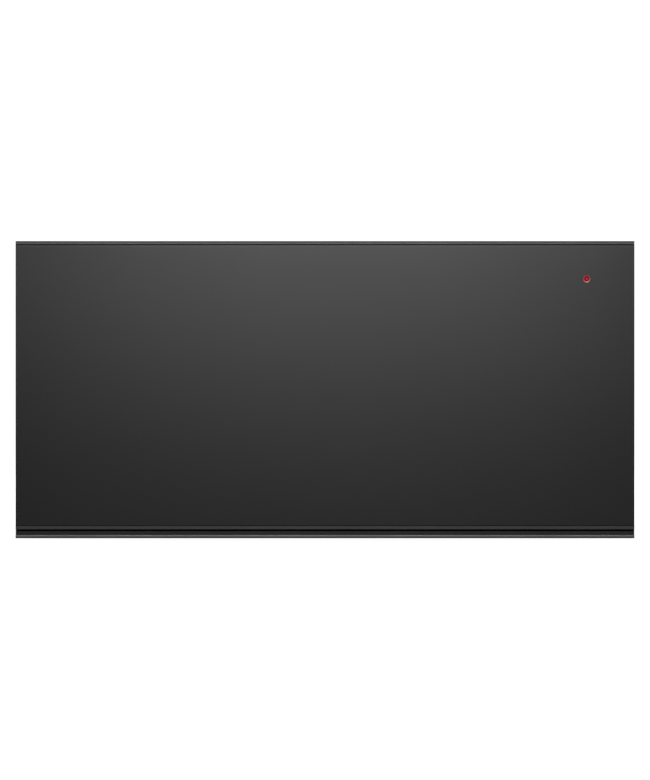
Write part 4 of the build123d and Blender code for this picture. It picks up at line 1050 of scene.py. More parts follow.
class Sheet:
    """Folded and pressed sheet: flat fields that meet at folds, drawn as its outer surface."""

    def __init__(self, fold: float) -> None:
        """Start an empty sheet whose folds get an outer radius."""
        self.bm = bmesh.new()
        self.fold = fold
        self.look: Vector | None = None

    def field(self, axis: Axis, level: float, side: int, outline: Sequence[Point],
              pressings: Sequence[Pressing] = (), margin: float = 0.0) -> None:
        """Add a flat field.

        Args:
            axis: Axis that the field is square to.
            level: Where it lies along the axis.
            side: Direction along the axis that its outer face looks in.
            outline: Its corners on the two other axes.
            pressings: Its holes, beads and louvres.
            margin: Width of a plain strip along its outline, for folds to run in.
        """
        bm = self.bm
        self.look = self.look or axis.unit * side
        edges = add_loop(bm, [axis.place(point, level) for point in outline])
        if margin:
            face = bmesh.ops.edgeloop_fill(bm, edges=edges)["faces"][0]
            bmesh.ops.inset_region(bm, faces=[face], thickness=margin, depth=0.0, use_even_offset=True)
            edges = list(face.edges)
            bmesh.ops.delete(bm, geom=[face], context="FACES_ONLY")
        rims = [pressing.ring(bm, axis, level) for pressing in pressings]
        fill(bm, edges + [edge for rim in rims for edge in rim], axis.unit * side)
        for pressing, rim in zip(pressings, rims):
            if pressing.height:
                pressing.press(bm, axis, level, side, rim)

    def walls(self, axis: Axis, levels: Span, outline: Sequence[Point], margin: float = 0.0) -> None:
        """Add two plain fields that look away from each other.

        Args:
            axis: Axis that the fields are square to.
            levels: Where they lie along the axis.
            outline: Their corners on the two other axes.
            margin: Width of a plain strip along each outline.
        """
        for side, level in zip((-1, 1), levels):
            self.field(axis, level, side, outline, margin=margin)

    def join(self) -> None:
        """Merge the fields and turn every face to the outer side of the first field."""
        bm = self.bm
        bmesh.ops.remove_doubles(bm, verts=list(bm.verts), dist=NEAR)
        bmesh.ops.recalc_face_normals(bm, faces=list(bm.faces))
        square = [face for face in bm.faces if abs(face.normal.dot(self.look)) > PARALLEL]
        first = max(square, key=lambda face: face.calc_area())
        if first.normal.dot(self.look) < 0:
            bmesh.ops.reverse_faces(bm, faces=list(bm.faces))

    def folds(self) -> list[Edge]:
        """Edges where two fields meet."""
        def flat(face: Face) -> bool:
            """Whether a face is square to an axis."""
            return max(abs(part) for part in face.normal) > PARALLEL

        return [edge for edge in self.bm.edges if len(edge.link_faces) == 2 and edge.calc_face_angle() > 1.0
                and all(flat(face) for face in edge.link_faces)]

    def finish(self, name: str, finish: Finish, role: Role, wall: float) -> bpy.types.Object:
        """Fold the sheet, give it its wall and settle it.

        Args:
            name: Name of the piece.
            finish: Its finish.
            role: Its body, slot and nodes.
            wall: Its thickness.

        Returns:
            The piece's object.
        """
        self.join()
        round_off(self.bm, self.folds(), self.fold, steps=3)
        return settle(name, self.bm, finish, role, smooth=35.0, wall=wall)


def rectangle(first: Span, second: Span) -> list[Point]:
    """Corners of a rectangle on two axes."""
    return [(first[0], second[0]), (first[1], second[0]), (first[1], second[1]), (first[0], second[1])]


@dataclass(frozen=True)
class Screw:
    """Pan-head screw with a six-lobed recess."""

    place: Vector
    axis: Axis
    outward: int
    length: float
    radius: float = 3.5 * MM
    height: float = 1.8 * MM
    shank: float = 1.9 * MM
    head: tuple[Point, ...] = ((0.48, 1.0), (0.7, 0.93), (0.93, 0.62), (1.0, 0.2), (1.0, 0.0))
    steps: int = 24

    @classmethod
    def of(cls, box: Box, points: Sequence[Vector]) -> "Screw":
        """Screw that takes the place of a plain CAD one.

        Args:
            box: Box of the CAD screw.
            points: Its vertices.

        Returns:
            The screw, with its head on the same side.
        """
        axis = max(Axis, key=lambda one: abs(box.size[one.value] - 2 * cls.radius))
        low, high = box.span(axis)
        across = axis.others[0]

        def spread(level: float) -> float:
            """Half the width of the screw at one end."""
            return max(abs(point[across] - box.centre[across]) for point in points
                       if abs(point[axis.value] - level) < SLACK)

        outward = 1 if spread(high) > spread(low) else -1
        place = Vector(box.centre)
        place[axis.value] = (high if outward > 0 else low) - outward * cls.height
        return cls(place, axis, outward, high - low - cls.height)

    def add(self, bm: BMesh) -> None:
        """Turn the screw, sink its recess and add it to a mesh.

        Args:
            bm: Mesh that gets the screw.
        """
        piece = bmesh.new()
        profile = [(across * self.radius, up * self.height) for across, up in self.head]
        profile += [(self.shank, 0.0), (self.shank, -self.length), (0.0, -self.length)]
        add_turned(piece, Axis.Z, Vector((0.0, 0.0, 0.0)), profile, self.steps)
        rim = [edge for edge in piece.edges if edge.is_boundary]
        for scale, lobes, drop in ((0.8, 0.16, 0.0), (0.95, 0.0, 0.55)):
            made = bmesh.ops.extrude_edge_only(piece, edges=rim)["geom"]
            for vert in only(Vert, made):
                turn = math.atan2(vert.co.y, vert.co.x)
                vert.co.xy *= scale + lobes * math.cos(6.0 * turn)
                vert.co.z -= drop * self.height
            rim = [edge for edge in piece.edges if edge.is_boundary]
        bmesh.ops.edgeloop_fill(piece, edges=rim)
        place = Matrix.Translation(self.place) @ turned(Axis.Z.unit, self.axis.unit * self.outward)
        bmesh.ops.transform(piece, matrix=place, verts=list(piece.verts))
        mesh = bpy.data.meshes.new("screw")
        piece.to_mesh(mesh)
        piece.free()
        bm.from_mesh(mesh)
        bpy.data.meshes.remove(mesh)


def screws(name: str, node: str, body: str) -> None:
    """Replace a node of plain screws with recessed ones, each where it was.

    Args:
        name: Name of the new piece.
        node: The CAD node.
        body: The body that they ride on.
    """
    bm = bmesh.new()
    for box, points in islands(copy_node(node)):
        Screw.of(box, points).add(bm)
    settle(name, bm, SCREW_STEEL, Role(body, "screw_steel", (node,)))


@dataclass
class DoorFront:
    """What the closed drawer shows: glass, strips, fixed trim and indicator."""

    wall: float = 1.5 * MM
    hole_steps: int = 64
    edge_fall: float = 1.25 * MM
    edge_depths: Point = (0.08 * MM, 0.3 * MM)
    side_edge: float = 0.3 * MM
    groove: float = 1.5 * MM
    groove_height: float = 1.1 * MM
    top_edge: float = 0.12 * MM
    bead: float = 0.3 * MM
    bead_height: float = 1.25 * MM
    bead_foot: float = 0.2 * MM
    bead_edge: float = 0.25 * MM
    bottom_height: float = 4.0 * MM
    bottom_edge: float = 0.5 * MM
    shade_seal_depth: float = 0.9 * MM
    shade_seal_inset: float = 0.2 * MM
    shade_seal_edge: float = 0.2 * MM
    trim_step: float = 3.0 * MM
    trim_edge: float = 0.7 * MM
    lip_face: tuple[Point, ...] = ((0.45 * MM, 0.0), (0.0, 1.5 * MM), (0.0, 2.6 * MM), (0.09 * MM, 3.6 * MM),
                                   (0.3 * MM, 3.9 * MM), (0.7 * MM, 4.0 * MM))
    foot_seal: Point = (0.9 * MM, 4.6 * MM)
    cap: Point = (2.0 * MM, 2.0 * MM)
    cap_room: float = 1.0 * MM
    cap_lean: float = 0.7 * MM
    lens_radius: float = 3.1 * MM
    lens_depth: float = 0.8 * MM
    ring_radius: float = 4.3 * MM
    round_steps: int = 48

    def __post_init__(self) -> None:
        """Read the places from the frame."""
        self.pane_box = Box.of("front_glass")
        self.top_box = Box.of("door_top_profile")
        self.bottom_box = Box.of("door_bottom_profile")
        self.trim_box = Box.of("bottom_trim")
        self.bezel_box = Box.of("indicator_bezel")
        self.guide_box = Box.of("light_guide")

    def pane(self) -> None:
        """Glass with its ground edges and the hole for the indicator."""
        x, (front, back), z = (self.pane_box.span(axis) for axis in Axis)
        spot = self.bezel_box.centre
        hole = ((spot.x, spot.z), self.bezel_box.size.x / 2)
        bm = bmesh.new()
        add_prism(bm, Axis.Y, rectangle(x, z), (back, front), holes=[hole], steps=self.hole_steps)
        for step, depth in ((2, 0.0), (1, self.edge_depths[0]), (0, self.edge_depths[1])):
            level = z[1] - step * self.edge_fall
            if step:
                cut(bm, Axis.Z, level)
            for vert in bm.verts:
                if abs(vert.co.z - level) < NEAR and vert.co.y < front + NEAR:
                    vert.co.y += depth
        rim = edges_at(bm, lambda co: co.y < front + self.edge_depths[1] + NEAR)
        sides = [edge for edge in rim if all(abs(abs(vert.co.x) - x[1]) < NEAR for vert in edge.verts)
                 and abs(edge.verts[0].co.z - edge.verts[1].co.z) > NEAR]
        foot = [edge for edge in rim if along(edge, Axis.X) and abs(edge.verts[0].co.z - z[0]) < NEAR]
        round_off(bm, sides + foot, self.side_edge, steps=2)
        settle("glass_pane", bm, GLASS, Role("drawer", "black_glass", ("front_glass",)))

    def hollow_bar(self, name: str, section: list[Point], floor: float, span: Span, crest: Point,
                   radius: float, finish: Finish, role: Role) -> None:
        """Extruded bar that is open at its back between two end walls.

        Args:
            name: Name of the piece.
            section: Outer section as (y, z) points.
            floor: Where the channel in its back ends, along Y.
            span: Ends of the bar along X.
            crest: Corner of the section that is rounded.
            radius: How far that rounding reaches.
            finish: Its finish.
            role: Its body, slot and nodes.
        """
        bm = bmesh.new()
        add_prism(bm, Axis.X, section, span)
        bmesh.ops.recalc_face_normals(bm, faces=list(bm.faces))
        join_flat(bm)
        back = max(place[0] for place in section)
        rear = [face for face in bm.faces if abs(face.calc_center_median().y - back) < SLACK]
        bmesh.ops.inset_region(bm, faces=rear, thickness=self.wall, depth=0.0, use_even_offset=True)
        push(bm, rear, Vector((0.0, floor - back, 0.0)))
        bmesh.ops.delete(bm, geom=[face for face in rear if face.is_valid], context="FACES")
        ridge = edges_at(bm, lambda co: (co.yz - Vector(crest)).length < SLACK)
        round_off(bm, ridge, radius, steps=3)
        settle(name, bm, finish, role)

    def shade_seal(self, name: str, x: Span, y: Span, z: Span, body: str) -> None:
        """Dark strip of silicone laid in a groove or behind a gap, standing for the shade there: painted
        shade.

        Args:
            name: Name of the piece.
            x: Its span along X.
            y: Its span along Y.
            z: Its span along Z.
            body: The body that it rides on.
        """
        bm = bmesh.new()
        add_block(bm, *zip(x, y, z))
        front = [edge for edge in edges_at(bm, lambda co: co.y < y[0] + SLACK) if along(edge, Axis.X)]
        round_off(bm, front, self.shade_seal_edge, steps=2)
        settle(name, bm, SILICONE, Role(body, "silicone"))

    def strips(self) -> None:
        """Top and bottom strips of the door, with black strips between strip and glass that stand for the
        shade in the grooves (painted shade).
        """
        x, (front, back), _ = (self.top_box.span(axis) for axis in Axis)
        glass_low, glass_high = self.pane_box.span(Axis.Z)
        glass_back = self.pane_box.high.y
        step, face = front + self.groove, front + self.bead
        top, top_low = self.top_box.high.z, glass_high + self.groove_height
        bottom = self.bottom_box.low.z
        bottom_high = bottom + self.bottom_height

        def section(face: float, outer: float, shoulder: float, rim: float, inner: float) -> list[Point]:
            """Stepped section of a strip."""
            return [(face, outer), (face, shoulder), (step, shoulder), (step, rim), (glass_back, rim),
                    (glass_back, inner), (back, inner), (back, outer)]

        self.hollow_bar("door_top_strip", section(face, top, top_low, glass_high, self.top_box.low.z),
                        glass_back + self.wall, x, (face, top), self.top_edge, STRIP_ALUMINIUM,
                        Role("drawer", "grey_aluminium", ("door_top_profile",)))
        bm = bmesh.new()
        add_block(bm, (x[0], front, top_low), (x[1], face + self.bead_foot, top_low + self.bead_height))
        crest = [edge for edge in edges_at(bm, lambda co: co.y < front + NEAR) if along(edge, Axis.X)]
        round_off(bm, crest, self.bead_edge, steps=3)
        # The bead is the same aluminium in a lighter copy: painted highlight.
        settle("door_top_bead", bm, HIGHLIGHT_ALUMINIUM, Role("drawer", "grey_aluminium"))
        self.hollow_bar("door_bottom_strip",
                        section(front, bottom, bottom_high, glass_low, self.bottom_box.high.z),
                        glass_back + self.wall, x, (front, bottom_high), self.bottom_edge, DARK_ALUMINIUM,
                        Role("drawer", "dark_aluminium", ("door_bottom_profile",)))
        # Black strips in the grooves between strip and glass: painted shade.
        reach, depth = (x[0] + self.shade_seal_inset, x[1] - self.shade_seal_inset), (front + self.shade_seal_depth, glass_back)
        self.shade_seal("glass_seal_top", reach, depth, (glass_high, top_low), "drawer")
        self.shade_seal("glass_seal_bottom", reach, depth, (bottom_high, glass_low), "drawer")

    def trim(self) -> None:
        """Fixed strip at the foot: a bar in a darker copy of the aluminium (painted shade under the door)
        with a lighter copy on the lip in front (painted highlight), and a black strip behind the gap that
        stands for its shade (painted shade).
        """
        x, (front, back), z = (self.trim_box.span(axis) for axis in Axis)
        step = front + self.trim_step
        # The trim's face is the same aluminium in a darker copy: painted shade under the door.
        self.hollow_bar("foot_trim", rectangle((step, back), z), step + self.wall, x, (step, z[1]),
                        self.trim_edge, SHADED_TRIM_ALUMINIUM, Role("housing", "grey_aluminium", ("bottom_trim",)))
        bm = bmesh.new()
        lip = [(front + drop, place) for drop, place in self.lip_face]
        add_prism(bm, Axis.X, lip + [(step, self.lip_face[-1][1]), (step, z[0])], x)
        # The lip gets the lighter copy of the aluminium: painted highlight.
        settle("foot_trim_lip", bm, HIGHLIGHT_ALUMINIUM, Role("housing", "grey_aluminium"))
        # Black strip behind the gap under the door: painted shade.
        thick, high = self.foot_seal
        self.shade_seal("foot_seal", x, (back - thick, back), (z[1], z[1] + high), "housing")
        bm = bmesh.new()
        width, rise = self.cap
        near, far = step + self.cap_room, back - self.cap_room
        lean = [(near, z[1]), (far, z[1]), (far, z[1] + rise), (near - self.cap_lean, z[1] + rise)]
        for side in (-1, 1):
            add_prism(bm, Axis.X, lean, ordered(side * x[1], side * (x[1] - width)))
        settle("foot_trim_caps", bm, SILICONE, Role("housing", "silicone"))

    def indicator(self) -> None:
        """Lens, its dished ring in the glass, and the light guide behind."""
        spot = self.bezel_box.centre
        front, back = self.bezel_box.span(Axis.Y)
        centre = Vector((spot.x, front, spot.z))
        lens, ring, seat = self.lens_radius, self.ring_radius, self.lens_depth
        outer, guide = self.bezel_box.size.x / 2, self.guide_box.size.x / 2
        dish = [(outer, 0.25 * MM), (ring, 0.02 * MM), (ring - 0.1 * MM, 0.05 * MM), (lens, 1.1 * MM),
                (lens, seat + 0.8 * MM), (guide, seat + 1.0 * MM), (guide, back - front),
                (outer, back - front)]
        bm = bmesh.new()
        add_turned(bm, Axis.Y, centre, dish + dish[:1], self.round_steps)
        # The ring's pink colour is a painted reflection of the red lens light.
        settle("indicator_ring", bm, BEZEL_PAINTED_RED_REFLECTION, Role("drawer", "grey_aluminium", ("indicator_bezel",)))
        end = self.guide_box.high.y - front
        dome = [(0.0, 0.95 * MM), (lens * 0.45, 0.98 * MM), (lens * 0.8, 1.08 * MM), (lens * 0.98, 1.3 * MM),
                (lens, seat + 0.7 * MM), (guide, seat + 0.95 * MM), (guide, end), (0.0, end)]
        bm = bmesh.new()
        add_turned(bm, Axis.Y, centre, dome, self.round_steps)
        lit = LitLens("lit_red_lens", (0.22, 0.0015, 0.0015), 0.45, centre=tuple(centre), reach=lens)
        settle("indicator_lens", bm, lit, Role("drawer", "clear_acrylic", ("light_guide",)))

    def build(self) -> None:
        """Make all pieces of the front."""
        self.pane()
        self.strips()
        self.trim()
        self.indicator()


@dataclass
class DoorTray:
    """Steel tray behind the glass, with its gasket."""

    wall: float = 1.0 * MM
    fold: float = 2.0 * MM
    margin: float = 4.0 * MM
    sunk: float = -0.9 * MM
    bead_corner: float = 8.0 * MM
    pan_inset: float = 16.0 * MM
    upper_bead: Point = (14.0 * MM, 30.0 * MM)  # above the pan, and below the tray's top
    lower_bead: Point = (6.0 * MM, 3.0 * MM)  # above the tray's foot, and below the pan
    lower_corner: float = 5.0 * MM
    side_bead: Point = (14.0 * MM, 10.0 * MM)  # outside the gasket, and inside the tray's side
    rail_room: float = 38.0 * MM
    indicator_room: float = 22.0 * MM
    lip: float = 12.0 * MM
    lip_corner: float = 6.0 * MM
    bore_play: float = 0.05 * MM
    crown: float = 1.2 * MM

    def __post_init__(self) -> None:
        """Read the places from the frame."""
        self.box = Box.of("door_liner")
        self.pan_box = Box.of("drawer_pan")
        self.gasket_box = Box.of("door_gasket")
        self.guide_box = Box.of("light_guide")
        self.rail_z = Box.of("inner_rails").centre.z

    def tray(self) -> None:
        """Folded tray: rear face with sunk beads, four walls, and a lip that turns in behind the glass."""
        x, y, z = (self.box.span(axis) for axis in Axis)
        pan, spot = self.pan_box, self.guide_box.centre
        wide = (pan.low.x + self.pan_inset, pan.high.x - self.pan_inset)
        upper = (pan.high.z + self.upper_bead[0], z[1] - self.upper_bead[1])
        lower = (z[0] + self.lower_bead[0], pan.low.z - self.lower_bead[1])
        places = [Pressing.between(wide, upper, self.bead_corner, self.sunk),
                  Pressing.between(wide, lower, self.lower_corner, self.sunk)]
        for side in (-1, 1):
            reach = ordered(side * (self.gasket_box.high.x + self.side_bead[0]),
                            side * (x[1] - self.side_bead[1]))
            for height in ((self.rail_z + self.rail_room, spot.z - self.indicator_room),
                           (z[0] + self.lip, self.rail_z - self.rail_room)):
                places.append(Pressing.between(reach, height, self.bead_corner, self.sunk))
        bore = self.guide_box.size.x / 2 + self.bore_play
        places.append(Pressing.hole((spot.x, spot.z), bore, steps=8))
        sheet = Sheet(self.fold)
        sheet.field(Axis.Y, y[1], 1, rectangle(x, z), places, self.margin)
        sheet.walls(Axis.X, x, rectangle(y, z))
        sheet.walls(Axis.Z, z, rectangle(x, y))
        mouth = Pressing.between((x[0] + self.lip, x[1] - self.lip), (z[0] + self.lip, z[1] - self.lip),
                                 self.lip_corner)
        sheet.field(Axis.Y, y[0], -1, rectangle(x, z), [mouth], self.margin)
        sheet.finish("door_tray", ZINC, Role("drawer", "zinc_steel", ("door_liner",)), self.wall)

    def gasket(self) -> None:
        """Soft seal with a rounded crown, as short as it gets when the drawer is pushed in to release it."""
        bm = copy_node("door_gasket")
        crest = edges_at(bm, lambda co: co.y > self.gasket_box.high.y - SLACK)
        for vert in {vert for edge in crest for vert in edge.verts}:
            vert.co.y -= PUSH_ROOM
        round_off(bm, crest, self.crown, steps=4)
        settle("tray_gasket", bm, SILICONE, Role("drawer", "silicone", ("door_gasket",)), smooth=50.0)

    def build(self) -> None:
        """Make the tray and its gasket."""
        self.tray()
        self.gasket()


@dataclass
class Drawer:
    """Pan, mat and what joins the pan to door and runners."""

    wall: float = 1.0 * MM
    corner: float = 6.0 * MM
    margin: float = 10.0 * MM
    rim: float = 5.6 * MM
    rim_edge: float = 1.2 * MM
    slot: Point = (2.5 * MM, 30.0 * MM)
    slot_pitch: float = 22.0 * MM
    slot_count: int = 17
    mat_corner: float = 12.0 * MM
    mat_edge: float = 0.5 * MM
    mat_border: float = 16.0 * MM
    stud_pitch: float = 12.0 * MM
    stud_radius: float = 2.8 * MM
    stud_height: float = 0.6 * MM
    stud_root: float = 0.2 * MM
    stud_edge: Point = (0.45 * MM, 0.3 * MM)
    stud_steps: int = 10

    def __post_init__(self) -> None:
        """Read the places from the frame."""
        self.box = Box.of("drawer_pan")
        self.mat_box = Box.of("nonslip_mat")
        self.fan_z = Box.of("fan_impeller").centre.z

    def pan(self) -> None:
        """Deep-drawn pan with rounded corners, hot-air slots in its rear wall and a turned-in rim."""
        x, y, z = (self.box.span(axis) for axis in Axis)
        first = -(self.slot_count - 1) / 2 * self.slot_pitch
        slots = [Pressing((first + index * self.slot_pitch, self.fan_z), self.slot, self.slot[0])
                 for index in range(self.slot_count)]
        sheet = Sheet(self.corner)
        sheet.field(Axis.Z, z[0], -1, rectangle(x, y), margin=self.margin)
        sheet.field(Axis.Y, y[0], -1, rectangle(x, z), margin=self.margin)
        sheet.field(Axis.Y, y[1], 1, rectangle(x, z), slots, self.margin)
        sheet.walls(Axis.X, x, rectangle(y, z), self.margin)
        sheet.join()
        bm = sheet.bm
        round_off(bm, sheet.folds(), self.corner, steps=6)
        mouth = [edge for edge in edges_at(bm, lambda co: co.z > z[1] - NEAR) if edge.is_boundary]
        lid = bmesh.ops.edgeloop_fill(bm, edges=mouth)["faces"]
        if lid[0].normal.z < 0:
            bmesh.ops.reverse_faces(bm, faces=lid)
        bmesh.ops.inset_region(bm, faces=lid, thickness=self.rim, depth=0.0, use_even_offset=True)
        bmesh.ops.delete(bm, geom=lid, context="FACES")
        round_off(bm, [edge for edge in mouth if edge.is_valid], self.rim_edge, steps=3)
        role = Role("drawer", "stainless", ("drawer_pan",))
        settle("pan", bm, STAINLESS, role, smooth=35.0, wall=self.wall)

    def stud(self, bm: BMesh, start: Vector, top: float) -> set[Vert]:
        """Add one low stud with a rounded edge.

        Args:
            bm: Mesh that gets it.
            start: Middle of its root.
            top: Height of its crown.

        Returns:
            The stud's vertices.
        """
        made = bmesh.ops.create_circle(bm, cap_ends=True, segments=self.stud_steps, radius=self.stud_radius,
                                       matrix=Matrix.Translation(start))["verts"]
        root = [face for face in made[0].link_faces if all(vert in made for vert in face.verts)]
        crown = push(bm, root, Vector((0.0, 0.0, top - start.z)))
        bmesh.ops.inset_region(bm, faces=crown, thickness=self.stud_edge[0], depth=0.0, use_even_offset=True)
        inner = {vert for face in crown for vert in face.verts}
        for vert in inner:
            vert.co.z = top
        shoulder = {vert for edge in edges_of(inner) for face in edge.link_faces for vert in face.verts}
        for vert in shoulder - inner:
            vert.co.z = top - self.stud_edge[1]
        return {vert for vert in bm.verts if (vert.co - start).length < 2 * self.stud_radius}

    def mat(self) -> None:
        """Loose mat with rounded corners and a field of small studs."""
        x, y, z = (self.mat_box.span(axis) for axis in Axis)
        bed = z[1] - self.stud_height
        bm = bmesh.new()
        edges = add_loop(bm, [Axis.Z.place(corner, z[0]) for corner in rectangle(x, y)])
        push(bm, bmesh.ops.edgeloop_fill(bm, edges=edges)["faces"], Axis.Z.unit * (bed - z[0]))
        round_off(bm, [edge for edge in bm.edges if along(edge, Axis.Z)], self.mat_corner, steps=6)
        bmesh.ops.recalc_face_normals(bm, faces=list(bm.faces))
        round_off(bm, edges_at(bm, lambda co: co.z > bed - NEAR), self.mat_edge, steps=2)
        columns, rows = (int((span[1] - span[0] - self.mat_border) / self.stud_pitch) for span in (x, y))
        start = Vector(((x[0] + x[1] - columns * self.stud_pitch) / 2,
                        (y[0] + y[1] - rows * self.stud_pitch) / 2, bed - self.stud_root))
        stud = self.stud(bm, start, z[1])
        for axis, count in ((Axis.X, columns), (Axis.Y, rows)):
            geom = [*stud, *(edge for edge in bm.edges if all(vert in stud for vert in edge.verts)),
                    *(face for face in bm.faces if all(vert in stud for vert in face.verts))]
            before = set(bm.verts)
            bmesh.ops.spin(bm, geom=geom, cent=start, axis=Axis.Z.unit, dvec=axis.unit * self.stud_pitch,
                           angle=0.0, space=Matrix.Identity(4), steps=count, use_merge=False,
                           use_normal_flip=False, use_duplicate=True)
            stud |= set(bm.verts) - before
        settle("mat", bm, MAT_SILICONE, Role("mat", "mat_silicone", ("nonslip_mat",)))

    def build(self) -> None:
        """Make all pieces that ride on the drawer inside."""
        self.pan()
        self.mat()
        screws("drawer_fixings", "drawer_screws", "drawer")


@dataclass
class Housing:
    """Folded sheets of the fixed housing, with their beads, louvres and screws."""

    sheet: float = 1.0 * MM
    fold: float = 1.6 * MM
    margin: float = 4.0 * MM
    bead: float = 1.1 * MM
    bead_slope: float = 4.0 * MM
    bead_corner: float = 11.0 * MM
    bead_width: float = 28.0 * MM
    side_beads: tuple[float, ...] = (168.0 * MM, 226.0 * MM, 284.0 * MM, 44.0 * MM)
    side_bead_ends: Point = (55.0 * MM, 40.0 * MM)
    screw_hole: float = 2.25 * MM
    screw_heights: Point = (60.0 * MM, 300.0 * MM)
    rear_flange: float = 14.0 * MM
    rear_flange_ends: Point = (16.0 * MM, 12.0 * MM)
    broad_corner: float = 20.0 * MM
    top_beads: tuple[float, ...] = (-250.0 * MM, -125.0 * MM, 0.0, 125.0 * MM, 250.0 * MM)
    top_bead_half: float = 22.0 * MM
    top_bead_ends: Point = (60.0 * MM, 60.0 * MM)
    top_hem: Point = (29.0 * MM, 2.0 * MM)
    base_beads: tuple[float, ...] = (-240.0 * MM, -80.0 * MM, 80.0 * MM, 240.0 * MM)
    base_bead_half: float = 60.0 * MM
    base_bead_ends: Point = (60.0 * MM, 130.0 * MM)
    base_hem: Point = (10.0 * MM, 2.0 * MM)
    base_front: float = 8.8 * MM
    louvre: Point = (30.0 * MM, 3.2 * MM)
    louvre_corner: float = 2.4 * MM
    louvre_rise: float = 2.4 * MM
    louvre_slope: float = 1.6 * MM
    louvre_columns: tuple[float, ...] = (-160.0 * MM, -80.0 * MM, 0.0, 80.0 * MM)
    louvre_start: float = 161.5 * MM
    louvre_pitch: float = 9.0 * MM
    louvre_rows: int = 8
    rear_inset: float = 40.0 * MM
    rear_top_bead: Point = (62.0 * MM, 34.0 * MM)  # below the panel's top
    rear_foot_bead: Point = (46.0 * MM, 74.0 * MM)  # above its foot
    rear_field: Span = (130.0 * MM, 262.0 * MM)
    rear_field_starts: Point = (-224.0 * MM, 150.0 * MM)  # beside the louvres
    gland_room: float = 60.0 * MM
    gland_hole: float = 8.0 * MM
    stop_dome: float = 0.6 * MM

    def __post_init__(self) -> None:
        """Read the places from the frame."""
        self.side_box = Box.of("right_side_panel")
        self.top_box = Box.of("top_panel")
        self.base_box = Box.of("base_pan")
        self.rear_box = Box.of("rear_panel")
        self.gland_box = Box.of("cable_gland")
        self.stop_box = Box.of("stop_buffers")
        self.body_x = self.rear_box.high.x

    def stiffener(self, first: Span, second: Span, corner: float, height: float) -> Pressing:
        """Pressed bead that fills a span on each of the two axes of its sheet."""
        return Pressing.between(first, second, corner, height, self.bead_slope)

    def sides(self) -> None:
        """Side panels: a wall with four raised beads, a flange out at the front and one in at the rear."""
        y, z = self.side_box.span(Axis.Y), self.side_box.span(Axis.Z)
        front, outer = y[0] + self.sheet, self.side_box.high.x
        ends = (z[0] + self.rear_flange_ends[0], z[1] - self.rear_flange_ends[1])
        outline = [(front, z[0]), (y[1], z[0]), (y[1], ends[0]), (y[1], ends[1]), (y[1], z[1]), (front, z[1])]
        run = (front + self.side_bead_ends[0], y[1] - self.side_bead_ends[1])
        beads = [self.stiffener(run, (low, low + self.bead_width), self.bead_corner, self.bead)
                 for low in self.side_beads]
        hole_x = (self.body_x + outer) / 2
        for side, sign in (("left", -1), ("right", 1)):
            holes = [Pressing.hole((sign * hole_x, height), self.screw_hole, steps=5)
                     for height in self.screw_heights]
            reach = ordered(sign * self.body_x, sign * outer)
            back = ordered(sign * self.body_x, sign * (self.body_x - self.sheet - self.rear_flange))
            wall = Sheet(self.fold)
            wall.field(Axis.X, sign * self.body_x, sign, outline, beads, self.margin)
            wall.field(Axis.Y, front, 1, rectangle(reach, z), holes)
            wall.field(Axis.Y, y[1], 1, rectangle(back, ends))
            role = Role("housing", "zinc_steel", (f"{side}_side_panel",))
            piece = wall.finish(f"{side}_side_sheet", ZINC, role, self.sheet)
            for vert in piece.data.vertices:
                vert.co.z = min(max(vert.co.z, z[0]), z[1])

    def hemmed(self, name: str, node: str, side: int, hem: Point, beads: list[Pressing],
               front: float = 0.0) -> None:
        """Flat panel with a hem down or up along each side.

        Args:
            name: Name of the piece.
            node: The node that it stands for.
            side: 1 where the panel looks up and -1 where it looks down.
            hem: How far from the front and the back edge the hems end.
            beads: Its beads.
            front: Height of a wall along its front edge, or zero.
        """
        x, y, z = (Box.of(node).span(axis) for axis in Axis)
        run = (y[0] + hem[0], y[1] - hem[1])
        outline = [(x[0], y[0]), (x[1], y[0]), (x[1], run[0]), (x[1], run[1]), (x[1], y[1]),
                   (x[0], y[1]), (x[0], run[1]), (x[0], run[0])]
        panel = Sheet(self.fold)
        panel.field(Axis.Z, z[1] if side > 0 else z[0], side, outline, beads, self.margin)
        if front:
            panel.field(Axis.Y, y[0], -1, rectangle(x, (z[0], z[0] + front)))
        panel.walls(Axis.X, x, rectangle(run, z))
        panel.finish(name, ZINC, Role("housing", "zinc_steel", (node,)), self.sheet)

    def top(self) -> None:
        """Top panel with five cross beads and side hems."""
        run = (self.top_box.low.y + self.top_bead_ends[0], self.top_box.high.y - self.top_bead_ends[1])
        half = self.top_bead_half
        beads = [self.stiffener((place - half, place + half), run, self.broad_corner, self.bead)
                 for place in self.top_beads]
        self.hemmed("top_sheet", "top_panel", 1, self.top_hem, beads)

    def base(self) -> None:
        """Base pan with its hems, and a front wall behind the trim."""
        run = (self.base_box.low.y + self.base_bead_ends[0], self.base_box.high.y - self.base_bead_ends[1])
        half = self.base_bead_half
        beads = [self.stiffener((place - half, place + half), run, self.broad_corner, -self.bead)
                 for place in self.base_beads]
        self.hemmed("base_sheet", "base_pan", -1, self.base_hem, beads, self.base_front)

